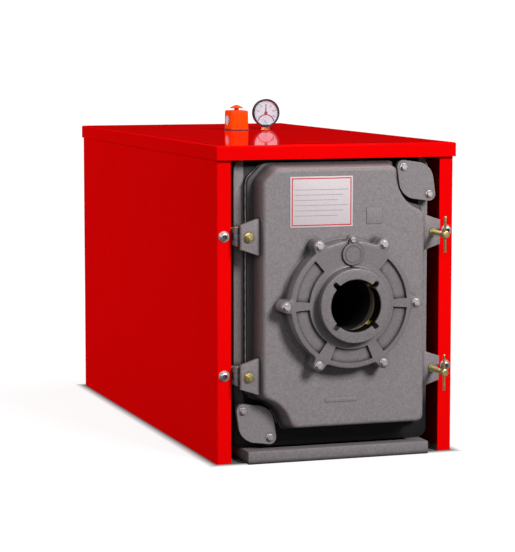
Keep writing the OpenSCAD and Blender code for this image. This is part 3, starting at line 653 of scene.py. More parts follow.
def lathe(bm, profile, place, axis="Y", sides=48):
    """Adds a turned shape: profile holds places along the axis with their radii."""
    along, across, up = AXES[axis]
    angles = [2 * math.pi * i / sides for i in range(sides)]
    rings = []
    for offset, radius in profile:
        centre = place + along * offset
        if radius < POLE:
            rings.append([centre])
        else:
            rings.append([centre + radius * (math.cos(t) * across + math.sin(t) * up) for t in angles])
    loft(bm, rings)


def rounded_profile(corners, steps=4):
    """A lathe profile from corners (place, radius, rounding), with the corners turned to arcs."""
    points = []
    for i, (place, radius, rounding) in enumerate(corners):
        if not rounding or i in (0, len(corners) - 1):
            points.append((place, radius))
            continue
        here = Vector((place, radius))
        before = (Vector(corners[i - 1][:2]) - here).normalized() * rounding
        after = (Vector(corners[i + 1][:2]) - here).normalized() * rounding
        for step in range(steps + 1):
            share = step / steps
            points.append(tuple(here + before * (1 - share) ** 2 + after * share ** 2))
    return points


def block(bm, low, high, edge, segments=3):
    """Adds a box with rounded edges."""
    verts = bmesh.ops.create_cube(bm, size=1.0)["verts"]
    for vert in verts:
        vert.co = Vector(a + (b - a) * (c + 0.5) for a, b, c in zip(low, high, vert.co))
    edges = list({line for vert in verts for line in vert.link_edges})
    bmesh.ops.bevel(bm, geom=edges, offset=edge, segments=segments, profile=0.5, affect="EDGES")


def prism(bm, outline, front, back, edge, segments=3):
    """Adds a plate with an outline in X and Z between two y places, with rounded rims."""
    near = [bm.verts.new((x, front, z)) for x, z in outline]
    far = [bm.verts.new((x, back, z)) for x, z in outline]
    faces = [bm.faces.new(near), bm.faces.new(list(reversed(far)))]
    bridge(bm, near, far)
    rims = [line for face in faces for line in face.edges]
    bmesh.ops.bevel(bm, geom=rims, offset=edge, segments=segments, profile=0.5, affect="EDGES")


def arc(centre, radius, start, end, steps):
    """Points of an arc in X and Z, with angles in degrees."""
    angles = np.radians(np.linspace(start, end, steps + 1))
    return [(centre[0] + radius * math.cos(a), centre[1] + radius * math.sin(a)) for a in angles]


def outward(bm):
    """Points every face outwards."""
    bmesh.ops.recalc_face_normals(bm, faces=bm.faces)


def smooth_max(a, b, blend):
    """The larger of two distances, with their crossing rounded over a blend."""
    near = np.maximum(blend - np.abs(a - b), 0.0) / blend
    return np.maximum(a, b) + near * near * blend / 4


def smooth_min(a, b, blend):
    """The smaller of two distances, with their crossing filled over a blend."""
    return -smooth_max(-a, -b, blend)


def turns(step):
    """Angles round a full turn in radians, with a step in degrees."""
    return np.radians(np.arange(0.0, 360.0, step))


# Halvings with which an outline is found, and radii that surely lie outside the outlines
HALVINGS = 36
DOOR_FAR = 0.6
PLATE_FAR = 0.25
COVER_FAR = 0.06

# Directions of the burner plate's ears, and how softly the ears and the boss join the ring
EAR_TURNS = [math.radians(60 * i) for i in range(6)]
EAR_BLEND = 16 * MM
BOSS_BLEND = 10 * MM


def edge_reach(distance, angles, far):
    """How far an outline lies from its middle at each angle."""
    low = np.zeros_like(angles)
    high = np.full_like(angles, far)
    for _ in range(HALVINGS):
        mid = (low + high) / 2
        outside = distance(mid * np.cos(angles), mid * np.sin(angles)) > 0
        high = np.where(outside, mid, high)
        low = np.where(outside, low, mid)
    return low


def burner_ring(angles, radii, y):
    """Points round the burner's axis at one y, or at a y for each angle."""
    radii = np.broadcast_to(radii, angles.shape)
    places = np.broadcast_to(y, angles.shape)
    return np.stack([radii * np.cos(angles), places, BURNER.z + radii * np.sin(angles)], axis=1).tolist()


def cover_circle(sizes):
    """The circle that touches a port cover's disc and both its ends: its sideways offset and radius."""
    step = sizes.cover_disc - sizes.cover_end
    out = (sizes.cover_bolt_circle ** 2 - step ** 2) / (2 * step)
    return out / math.sqrt(2), sizes.cover_disc + out


def door_distance(x, z, sizes, narrow=0.0):
    """Distance to the door's outline, its sides drawn in, from points seen from the burner's middle."""
    half = ROPE_HIGH.x + sizes.seal_inset - narrow
    high = ROPE_HIGH.z + sizes.seal_inset - BURNER.z
    low = ROPE_LOW.z - sizes.seal_inset - BURNER.z
    sides = np.abs(x) - half
    ends = np.maximum(z - high, low - z)
    away = smooth_max(sides, ends, sizes.corner)
    away = smooth_max(away, (-x - half + z - high + sizes.corner_cut) / math.sqrt(2), sizes.corner / 2)
    out, radius = cover_circle(bpy.context.scene.boiler_fixings)
    for place in PORTS:
        rise = place.z - BURNER.z
        notch = np.hypot(x - place.x - math.copysign(out, place.x), z - rise - math.copysign(out, rise))
        away = smooth_max(away, radius + sizes.notch_gap - notch, sizes.corner)
    return away


def plate_distance(x, z, sizes, boss):
    """Distance to the outline of the ring with its ears, and with the boss over it if asked."""
    away = np.hypot(x, z) - sizes.radius
    for turn in EAR_TURNS:
        ear = np.hypot(x - sizes.ear_circle * math.cos(turn), z - sizes.ear_circle * math.sin(turn))
        away = smooth_min(away, ear - sizes.ear, EAR_BLEND)
    if boss:
        pivot = np.hypot(x, z - SIGHT_PIVOT.z + BURNER.z)
        away = smooth_min(away, pivot - sizes.boss, BOSS_BLEND)
    return away


def quarter(steps=5):
    """Sines and cosines over a quarter turn."""
    return [(math.sin(t), math.cos(t)) for t in np.linspace(0, math.pi / 2, steps + 1)]


class BOILER_OT_jacket(bpy.types.Operator):
    """Folds the side panels and the lid from sheet, and adds the back panel"""
    bl_idname = "boiler.jacket"
    bl_label = "Jacket"

    # Rounded edge of the back panel, and the flat strips beside a bend in bend radii
    back_edge = 0.5 * MM
    strip = 1.5

    def execute(self, context):
        sizes = context.scene.boiler_jacket
        for node, side in (("left_panel", -1), ("right_panel", 1)):
            self.side_panel(node, side, sizes)
        self.lid(sizes)
        softened("back_panel", "back_sheet", "red_paint", "boiler", self.back_edge)
        return {"FINISHED"}

    def side_panel(self, node, side, sizes):
        low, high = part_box(node)
        outer = low.x if side < 0 else high.x
        inner = outer - side * sizes.sheet
        front, rear = outer - side * sizes.flange, outer - side * sizes.rear_flange
        near, far = low.y + sizes.sheet, high.y - sizes.sheet
        outside = self.bent([(front, low.y), (outer, low.y), (outer, high.y), (rear, high.y)], sizes.bend)
        inside = self.bent([(front, near), (inner, near), (inner, far), (rear, far)],
                           sizes.bend - sizes.sheet)
        bm = bmesh.new()
        loop = outside + inside[::-1]
        floor = [bm.verts.new((x, y, sizes.floor_gap)) for x, y in loop]
        top = [bm.verts.new((x, y, high.z)) for x, y in loop]
        bm.faces.new(floor)
        bm.faces.new(top[::-1])
        bridge(bm, floor, top)
        add_piece(node.replace("panel", "side_sheet"), bm, "red_paint", "boiler", replaces=[node])

    def bent(self, corners, radius, steps=5):
        """A path through corners, with each inner corner turned to a bend between flat strips."""
        points = [corners[0]]
        for before, here, after in zip(corners, corners[1:], corners[2:]):
            here = Vector(here)
            back = (Vector(before) - here).normalized() * radius
            on = (Vector(after) - here).normalized() * radius
            centre = here + back + on
            points.append(tuple(here + back * self.strip))
            for sine, cosine in quarter(steps):
                points.append(tuple(centre - on * cosine - back * sine))
            points.append(tuple(here + on * self.strip))
        return points + [corners[-1]]

    def lid(self, sizes):
        low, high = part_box("lid")
        bm = bmesh.new()
        block(bm, low, high, sizes.bend, segments=5)
        # Broad faces get a flat strip beside each bend, and the underside is taken off
        broad = [face for face in bm.faces if min(edge.calc_length() for edge in face.edges) > 3 * sizes.bend]
        bmesh.ops.inset_individual(bm, faces=broad, thickness=sizes.bend)
        foot = low.z + sizes.bend * 1.01
        bottom = [face for face in bm.faces if max(vert.co.z for vert in face.verts) < foot]
        bmesh.ops.delete(bm, geom=bottom, context="FACES")
        for vert in bm.verts:
            if vert.co.z < foot:
                vert.co.z = low.z
        outward(bm)
        source = loose_object("lid_sheet.source", mesh_of("lid_sheet", bm))
        wall = source.modifiers.new("Sheet", "SOLIDIFY")
        wall.thickness = sizes.sheet
        wall.offset = -1.0
        add_mesh("lid_sheet", baked(source), "lid_paint", "boiler", replaces=["lid"])


class BOILER_OT_castings(bpy.types.Operator):
    """Softens frame and castings, finishes the nodes kept as they are, and adds the port covers"""
    bl_idname = "boiler.castings"
    bl_label = "Castings"

    # Rounded edges of the castings
    section_edge = 1.6 * MM
    bracket_edge = 1.2 * MM
    pipe_edge = 1.5 * MM
    cover_edge = 2.2 * MM
    # Nodes that are shown as they are, with their finishes
    plain = {"door_insulation": "refractory", "burner_gasket": "gasket", "gauge_glass": "clear_glass",
             "gauge_dial": "dial_white"}

    def execute(self, context):
        base_edge = context.scene.boiler_jacket.base_edge
        softened("base_frame", "base_channel", "base_paint", "boiler", base_edge)
        softened("front_section", "front_casting", "section_iron", "boiler", self.section_edge)
        for node in ("hinge_brackets", "clamp_brackets"):
            softened(node, node.replace("brackets", "castings"), "cast_iron", "boiler", self.bracket_edge)
        for node in ("flue_collar", "flow_pipe", "return_pipe"):
            softened(node, node + "_casting", "cast_iron", "boiler", self.pipe_edge)
        for node in frame["nodes"]:
            if node.startswith(("middle_section", "rear_")):
                self.dress(node, "cast_iron")
        for node, finish in self.plain.items():
            self.dress(node, finish)
        self.port_covers(context.scene.boiler_fixings)
        return {"FINISHED"}

    def dress(self, node, finish):
        """Gives a CAD node that is shown as it is its finish."""
        for slot in frame["nodes"][node].material_slots:
            slot.material = finish_of(finish)

    def port_covers(self, sizes):
        """Flat cast covers: a round plate that tapers to an end round each of two bolts."""
        end, reach, disc = sizes.cover_end, sizes.cover_bolt_circle, sizes.cover_disc
        lean = math.degrees(math.acos((disc - end) / reach))
        outline = []
        for turn in (-45, 135):
            centre = (reach * math.cos(math.radians(turn)), reach * math.sin(math.radians(turn)))
            outline += arc(centre, end, turn - lean, turn + lean, 12)
            outline += arc((0.0, 0.0), disc, turn + lean, turn + 180 - lean, 16)
        bm = bmesh.new()
        for place in PORTS:
            around = [(place.x + x, place.z + z) for x, z in outline]
            prism(bm, around, COVER_FRONT, COVER_BACK, self.cover_edge)
        add_piece("port_cover_castings", bm, "cast_iron", "boiler", replaces=["port_covers"])


class BOILER_OT_door(bpy.types.Operator):
    """Casts the burner door with its flange, collar, lugs and pads, and lays the rope seal"""
    bl_idname = "boiler.door"
    bl_label = "Burner door"

    # Blank cast pads on the face: middle, width and height in millimetres, and how far they rise
    pads = ((78, 622, 42, 42), (-10, 160, 85, 12))
    pad_rise = 1.4 * MM
    # Rounded edges of the collar, the flange and the lugs
    collar_edge = 1.0 * MM
    flange_edge = 1.2 * MM
    lug_edge = 2.2 * MM
    # Rope seal: its strands, the length of half a turn, how far the strands bulge, and its section's sides
    strands = 4
    half_turn = 60 * MM
    bulge = 0.07
    rope_sides = 20

    def execute(self, context):
        sizes = context.scene.boiler_door
        plate = context.scene.boiler_plate
        angles = turns(0.5)
        face = COLLAR_FRONT + sizes.collar
        flange = FLANGE_BACK - sizes.flange
        collar = edge_reach(lambda x, z: plate_distance(x, z, plate, False), angles, PLATE_FAR)
        rings = [burner_ring(angles, sizes.clear, face + sizes.wall)]
        for y, inset in self.outer_profile(sizes, face, flange):
            narrow = sizes.narrow if y < flange else 0.0
            reach = edge_reach(lambda x, z: door_distance(x, z, sizes, narrow) + inset, angles, DOOR_FAR)
            rings.append(burner_ring(angles, reach, y))
        # A ring of flat face round the collar, and the fillet between them
        rings.append(burner_ring(angles, collar + sizes.fillet * 1.4, face))
        for sine, cosine in quarter():
            out, rise = sizes.fillet * (1 - sine), sizes.fillet * (1 - cosine)
            rings.append(burner_ring(angles, collar + out, face - rise))
        rim = self.collar_edge
        rings.append(burner_ring(angles, collar, COLLAR_FRONT + rim))
        rings.append(burner_ring(angles, collar - rim, COLLAR_FRONT))
        rings.append(burner_ring(angles, sizes.clear, COLLAR_FRONT))
        bm = bmesh.new()
        loft(bm, rings, closed=True)
        for height in LUG_HEIGHTS:
            for side in (1, -1):
                self.lug(bm, height, side, sizes, face)
        for x, z, wide, high in self.pads:
            block(bm, ((x - wide / 2) * MM, face - self.pad_rise, (z - high / 2) * MM),
                  ((x + wide / 2) * MM, face + self.pad_rise, (z + high / 2) * MM), self.pad_rise * 0.8)
        add_piece("door_casting", bm, "door_iron", "door", replaces=["door"])
        self.rope(sizes)
        return {"FINISHED"}

    def outer_profile(self, sizes, face, flange):
        """Places and insets from the cavity round the flange and up to the face."""
        rim, fillet, edge = self.flange_edge, sizes.fillet, sizes.edge
        top = sizes.lip + sizes.draft
        points = [(face + sizes.wall, sizes.cavity), (FLANGE_BACK, sizes.cavity), (FLANGE_BACK, rim),
                  (FLANGE_BACK - rim, 0.0), (flange + rim, 0.0), (flange, rim)]
        for sine, cosine in quarter(4)[1:]:
            points.append((flange - fillet * (1 - cosine), sizes.lip - fillet * (1 - sine)))
        for sine, cosine in quarter(7):
            points.append((face + edge * (1 - sine), top + edge * (1 - cosine)))
        points.append((face, top + edge + rim))
        return points

    def lug(self, bm, height, side, sizes, face):
        """One lug: plain on the hinge side, forked on the clamp side."""
        end, slope = sizes.lug_end, sizes.lug_end - sizes.lug_slope
        inside = slope - sizes.lug_inside / 2
        tip, root = sizes.lug_tip / 2, sizes.lug_root / 2
        outline = [(inside, -root), (slope, -root), (end, -tip)]
        if side > 0:
            bolt = CLAMPS["upper_clamp"].x
            outline += [(end, -sizes.lug_slot)]
            outline += arc((bolt, 0.0), sizes.lug_slot, -90, -270, 10)
            outline += [(end, sizes.lug_slot)]
        outline += [(end, tip), (slope, root), (inside, root)]
        front = face + sizes.lug_back
        around = [(side * x, height + z) for x, z in outline]
        prism(bm, around, front, front + sizes.lug_thickness, self.lug_edge)

    def rope(self, sizes):
        """The rope seal: a twisted round section along the flange's edge."""
        thick = (ROPE_HIGH.y - ROPE_LOW.y) / 2
        angles = turns(0.4)
        reach = edge_reach(lambda x, z: door_distance(x, z, sizes) + thick, angles, DOOR_FAR)
        line = np.array(burner_ring(angles, reach, (ROPE_LOW.y + ROPE_HIGH.y) / 2))
        back = np.array((0.0, 1.0, 0.0))
        ahead = np.roll(line, -1, axis=0) - np.roll(line, 1, axis=0)
        ahead /= np.linalg.norm(ahead, axis=1)[:, None]
        side = np.cross(ahead, back)
        run = np.concatenate([[0.0], np.cumsum(np.linalg.norm(np.diff(line, axis=0), axis=1))])
        twist = math.pi * self.strands * round(run[-1] / self.half_turn)
        rings = []
        for point, out, share in zip(line, side, run / (run[-1] + np.linalg.norm(line[0] - line[-1]))):
            ring = []
            for i in range(self.rope_sides):
                turn = 2 * math.pi * i / self.rope_sides
                swell = 1 - self.bulge + self.bulge * math.cos(self.strands * turn + twist * share)
                ring.append(point + thick * swell * (math.cos(turn) * out + math.sin(turn) * back))
            rings.append(ring)
        bm = bmesh.new()
        loft(bm, rings, closed=True)
        add_piece("door_rope", bm, "rope", "door", replaces=["rope_seal"], sharp=60.0)


class BOILER_OT_burner_plate(bpy.types.Operator):
    """Casts the burner plate with its ears, pockets and slotted hub, and the sight cover on it"""
    bl_idname = "boiler.burner_plate"
    bl_label = "Burner plate"

    # Pockets of the ring, in degrees from the right
    pockets = ((4, 50), (130, 176), (184, 235), (247, 293), (305, 356))
    # Groove round the sight cover's middle: radii and depths in millimetres
    cover_groove = ((23, 0), (22, 1.2), (19.5, 1.2), (18.5, 0))
    # Widths of the slopes at the pockets' ends and sides
    end_slope = 2.2 * MM
    side_slope = 1.8 * MM
    # Extra angles beside each slot's middle, in degrees, where its sides meet the bore
    slot_stops = (4.9, 5.05, 5.25, 5.5, 5.7, 5.76)
    # Sight cover: how far it hangs below its pivot, its edge, how softly its neck joins, and the tab on it
    hang = 37 * MM
    cover_edge = 1.2 * MM
    neck_blend = 14 * MM
    tab_half = 2.5 * MM
    tab_reach = 2 * MM
    tab_blend = 2 * MM

    def execute(self, context):
        sizes = context.scene.boiler_plate
        self.plate(sizes)
        self.sight_cover(sizes)
        self.pivot_screw()
        self.sight_glass()
        return {"FINISHED"}

    def plate(self, sizes):
        front = COLLAR_FRONT - sizes.thickness
        slope = math.degrees(self.end_slope / sizes.pocket_in)
        stops = [a + d for a, b in self.pockets for a, d in ((a, 0), (a, slope), (b, -slope), (b, 0))]
        stops += [45 + 90 * i + s * d for i in range(4) for s in (-1, 1) for d in self.slot_stops]
        degrees = np.unique(np.round(np.concatenate([np.arange(0.0, 360.0, 0.5), stops]), 3))
        angles = np.radians(degrees)
        floor = np.zeros_like(degrees)
        for start, end in self.pockets:
            floor[(degrees > start + slope / 2) & (degrees < end - slope / 2)] = sizes.pocket_depth
        outer = edge_reach(lambda x, z: plate_distance(x, z, sizes, True), angles, PLATE_FAR)
        bore = self.bore_reach(degrees, sizes)
        rim, edge, fillet, crown = 2.6 * MM, 3.6 * MM, 6 * MM, 3 * MM
        rings = [burner_ring(angles, bore, COLLAR_FRONT),
                 burner_ring(angles, outer - rim, COLLAR_FRONT),
                 burner_ring(angles, outer, COLLAR_FRONT - rim / 2)]
        for sine, cosine in quarter(3):
            rings.append(burner_ring(angles, outer - edge * (1 - cosine), front + edge * (1 - sine)))
        rings.append(burner_ring(angles, sizes.pocket_out + self.side_slope, front))
        rings.append(burner_ring(angles, sizes.pocket_out, front + floor))
        rings.append(burner_ring(angles, sizes.pocket_in, front + floor))
        rings.append(burner_ring(angles, sizes.pocket_in - self.side_slope, front))
        for sine, cosine in quarter(4):
            rings.append(burner_ring(angles, sizes.hub + fillet * (1 - sine), front - fillet * (1 - cosine)))
        for sine, cosine in quarter(4):
            radius = sizes.hub - crown * (1 - cosine)
            rings.append(burner_ring(angles, radius, HUB_FRONT + crown * (1 - sine)))
        rings.append(burner_ring(angles, bore + rim, HUB_FRONT))
        rings.append(burner_ring(angles, bore, HUB_FRONT + rim))
        bm = bmesh.new()
        loft(bm, rings, closed=True)
        add_piece("burner_plate_casting", bm, "plate_iron", "door",
                  replaces=["burner_plate"])

    def bore_reach(self, degrees, sizes):
        """Radius of the bore with its four slots at each angle."""
        off = np.radians((degrees % 90.0) - 45.0)
        end = sizes.slot_reach - sizes.slot
        sideways = np.abs(np.sin(off))
        with np.errstate(divide="ignore", invalid="ignore"):
            side = sizes.slot / sideways
            tip = end * np.cos(off) + np.sqrt(np.maximum(sizes.slot ** 2 - (end * sideways) ** 2, 0.0))
        slot = np.where(end * sideways < sizes.slot, tip, side)
        return np.where(BURNER_BORE * sideways < sizes.slot, np.maximum(slot, BURNER_BORE), BURNER_BORE)

    def sight_cover(self, sizes):
        low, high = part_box("sight_cover")
        height = SIGHT_PIVOT.z - self.hang
        angles = turns(2.0)

        def outline(x, z):
            disc = np.hypot(x, z) - sizes.cover
            eye = np.hypot(x, z - self.hang) - sizes.eye
            tab = np.maximum(np.abs(x) - self.tab_half, np.abs(z + sizes.cover) - self.tab_reach)
            return smooth_min(smooth_min(disc, eye, self.neck_blend), tab, self.tab_blend)

        def ring(radii, y):
            radii = np.broadcast_to(radii, angles.shape)
            places = (radii * np.cos(angles), np.full_like(angles, y), height + radii * np.sin(angles))
            return np.stack(places, axis=1).tolist()

        reach = edge_reach(outline, angles, COVER_FAR)
        edge = self.cover_edge
        rings = [[(0.0, high.y, height)], ring(reach - edge, high.y), ring(reach, high.y - edge)]
        for sine, cosine in quarter(3):
            rings.append(ring(reach - edge * (1 - cosine), low.y + edge * (1 - sine)))
        for radius, depth in self.cover_groove:
            rings.append(ring(radius * MM, low.y + depth * MM))
        rings.append([(0.0, low.y, height)])
        bm = bmesh.new()
        loft(bm, rings)
        add_piece("sight_flap", bm, "plate_iron", "sight_cover", replaces=["sight_cover"])

    def pivot_screw(self):
        """A round-headed screw, with its slot drawn as a black bar of painted shade."""
        low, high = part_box("sight_pivot")
        head, pin = (high.x - low.x) / 2, 2.8 * MM
        tall, long = 4 * MM, high.y - low.y
        bm = bmesh.new()
        lathe(bm, [(0.0, 0.0), (0.0, head * 0.86), (0.5 * MM, head * 0.96), (1.2 * MM, head), (tall, head),
                   (tall, pin), (long, pin), (long, 0.0)], Vector((SIGHT_PIVOT.x, low.y, SIGHT_PIVOT.z)))
        add_piece("sight_screw", bm, "plain_steel", "door", replaces=["sight_pivot"])
        # The slot is a black bar of painted shade
        reach, half, proud, depth = head * 0.92, 0.8 * MM, 0.15 * MM, 0.5 * MM
        bm = bmesh.new()
        block(bm, (SIGHT_PIVOT.x - reach, low.y - proud, SIGHT_PIVOT.z - half),
              (SIGHT_PIVOT.x + reach, low.y + depth, SIGHT_PIVOT.z + half), 0.1 * MM, 1)
        add_piece("sight_screw_slot_shade", bm, "black_plastic", "door")

    def sight_glass(self):
        """A glass with a raised rim, a little proud of its hole."""
        low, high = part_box("sight_glass")
        radius = (high.x - low.x) / 2
        proud, hollow, thick = 0.6 * MM, 0.3 * MM, 3 * MM
        place = Vector((0.0, low.y - proud, (low.z + high.z) / 2))
        bm = bmesh.new()
        lathe(bm, [(hollow, 0.0), (hollow, radius - 3 * MM), (0.0, radius - 2.4 * MM), (0.0, radius - proud),
                   (proud, radius), (thick, radius), (thick, 0.0)], place)
        add_piece("sight_lens", bm, "furnace_glass", "door", replaces=["sight_glass"])


def new_tree(name, inputs):
    """A tree of geometry nodes with inputs of the kinds given, and the sockets of its input node."""
    tree = bpy.data.node_groups.new(name, "GeometryNodeTree")
    for socket, kind in {"Geometry": "Geometry", **inputs, "Finish": "Material"}.items():
        tree.interface.new_socket(socket, in_out="INPUT", socket_type="NodeSocket" + kind)
    tree.interface.new_socket("Geometry", in_out="OUTPUT", socket_type="NodeSocketGeometry")
    return tree, tree.nodes.new("NodeGroupInput").outputs


def end_tree(tree, given, copies):
    """Ends a tree: its copies are made real, and get the finish that the tree was given."""
    real = tree.nodes.new("GeometryNodeRealizeInstances")
    paint = tree.nodes.new("GeometryNodeSetMaterial")
    tree.links.new(copies.outputs[0], real.inputs[0])
    tree.links.new(real.outputs[0], paint.inputs["Geometry"])
    tree.links.new(given["Finish"], paint.inputs["Material"])
    tree.links.new(paint.outputs[0], tree.nodes.new("NodeGroupOutput").inputs[0])


def bolt_tree():
    """Geometry nodes that set a hex head on a washer at each point, pointing to the front."""
    names = ("Head radius", "Head height", "Washer radius", "Washer thickness")
    tree, given = new_tree("Hex heads", dict.fromkeys(names, "Float"))
    nodes, links = tree.nodes, tree.links

    def scaled(value, share):
        return calculated(nodes, links, "MULTIPLY", value, share)

    def lifted(shape, height):
        place = nodes.new("ShaderNodeCombineXYZ")
        links.new(height, place.inputs["Z"])
        move = nodes.new("GeometryNodeTransform")
        links.new(shape, move.inputs["Geometry"])
        links.new(place.outputs[0], move.inputs["Translation"])
        return move.outputs["Geometry"]

    def frustum(sides, below, above, depth):
        node = nodes.new("GeometryNodeMeshCone")
        node.inputs["Vertices"].default_value = sides
        links.new(below, node.inputs["Radius Bottom"])
        links.new(above, node.inputs["Radius Top"])
        links.new(depth, node.inputs["Depth"])
        return node.outputs["Mesh"]

    head, height, washer, thick = (given[name] for name in names)
    body, crown = scaled(height, 0.82), scaled(height, 0.18)
    shoulder = calculated(nodes, links, "ADD", thick, body)
    join = nodes.new("GeometryNodeJoinGeometry")
    links.new(frustum(40, washer, scaled(washer, 0.97), thick), join.inputs[0])
    links.new(lifted(frustum(6, head, head, body), thick), join.inputs[0])
    links.new(lifted(frustum(6, head, scaled(head, 0.84), crown), shoulder), join.inputs[0])
    copies = nodes.new("GeometryNodeInstanceOnPoints")
    copies.inputs["Rotation"].default_value = (math.pi / 2, 0.0, 0.0)
    links.new(given["Geometry"], copies.inputs["Points"])
    links.new(join.outputs[0], copies.inputs["Instance"])
    end_tree(tree, given, copies)
    return tree


def mark_tree():
    """Geometry nodes that set upright marks along an arc round the origin."""
    measures = ("Radius", "Start", "Sweep", "Length", "Width", "Thickness")
    tree, given = new_tree("Dial marks", {"Count": "Int", **dict.fromkeys(measures, "Float")})
    nodes, links = tree.nodes, tree.links
    path = nodes.new("GeometryNodeCurveArc")
    links.new(given["Count"], path.inputs["Resolution"])
    links.new(given["Radius"], path.inputs["Radius"])
    links.new(given["Start"], path.inputs["Start Angle"])
    links.new(given["Sweep"], path.inputs["Sweep Angle"])
    mark = nodes.new("GeometryNodeMeshCube")
    size = nodes.new("ShaderNodeCombineXYZ")
    for axis, name in zip("XYZ", ("Width", "Length", "Thickness")):
        links.new(given[name], size.inputs[axis])
    links.new(size.outputs[0], mark.inputs["Size"])
    points = nodes.new("GeometryNodeCurveToPoints")
    points.mode = "EVALUATED"
    links.new(path.outputs["Curve"], points.inputs["Curve"])
    copies = nodes.new("GeometryNodeInstanceOnPoints")
    links.new(points.outputs["Points"], copies.inputs["Points"])
    links.new(mark.outputs["Mesh"], copies.inputs["Instance"])
    facing = nodes.new("FunctionNodeAlignRotationToVector")
    facing.axis = "Y"
    links.new(nodes.new("GeometryNodeInputPosition").outputs[0], facing.inputs["Vector"])
    links.new(facing.outputs[0], copies.inputs["Rotation"])
    end_tree(tree, given, copies)
    return tree


def grown(name, tree, points, values):
    """A plain mesh of what a tree grows on points, with its inputs set by identifier."""
    mesh = bpy.data.meshes.new(name)
    mesh.from_pydata([tuple(point) for point in points], [], [])
    source = loose_object(name + ".source", mesh)
    modifier = source.modifiers.new("Growth", "NODES")
    modifier.node_group = tree
    for item in tree.interface.items_tree:
        if item.item_type == "SOCKET" and item.in_out == "INPUT" and item.name in values:
            modifier[item.identifier] = values[item.name]
    return baked(source)


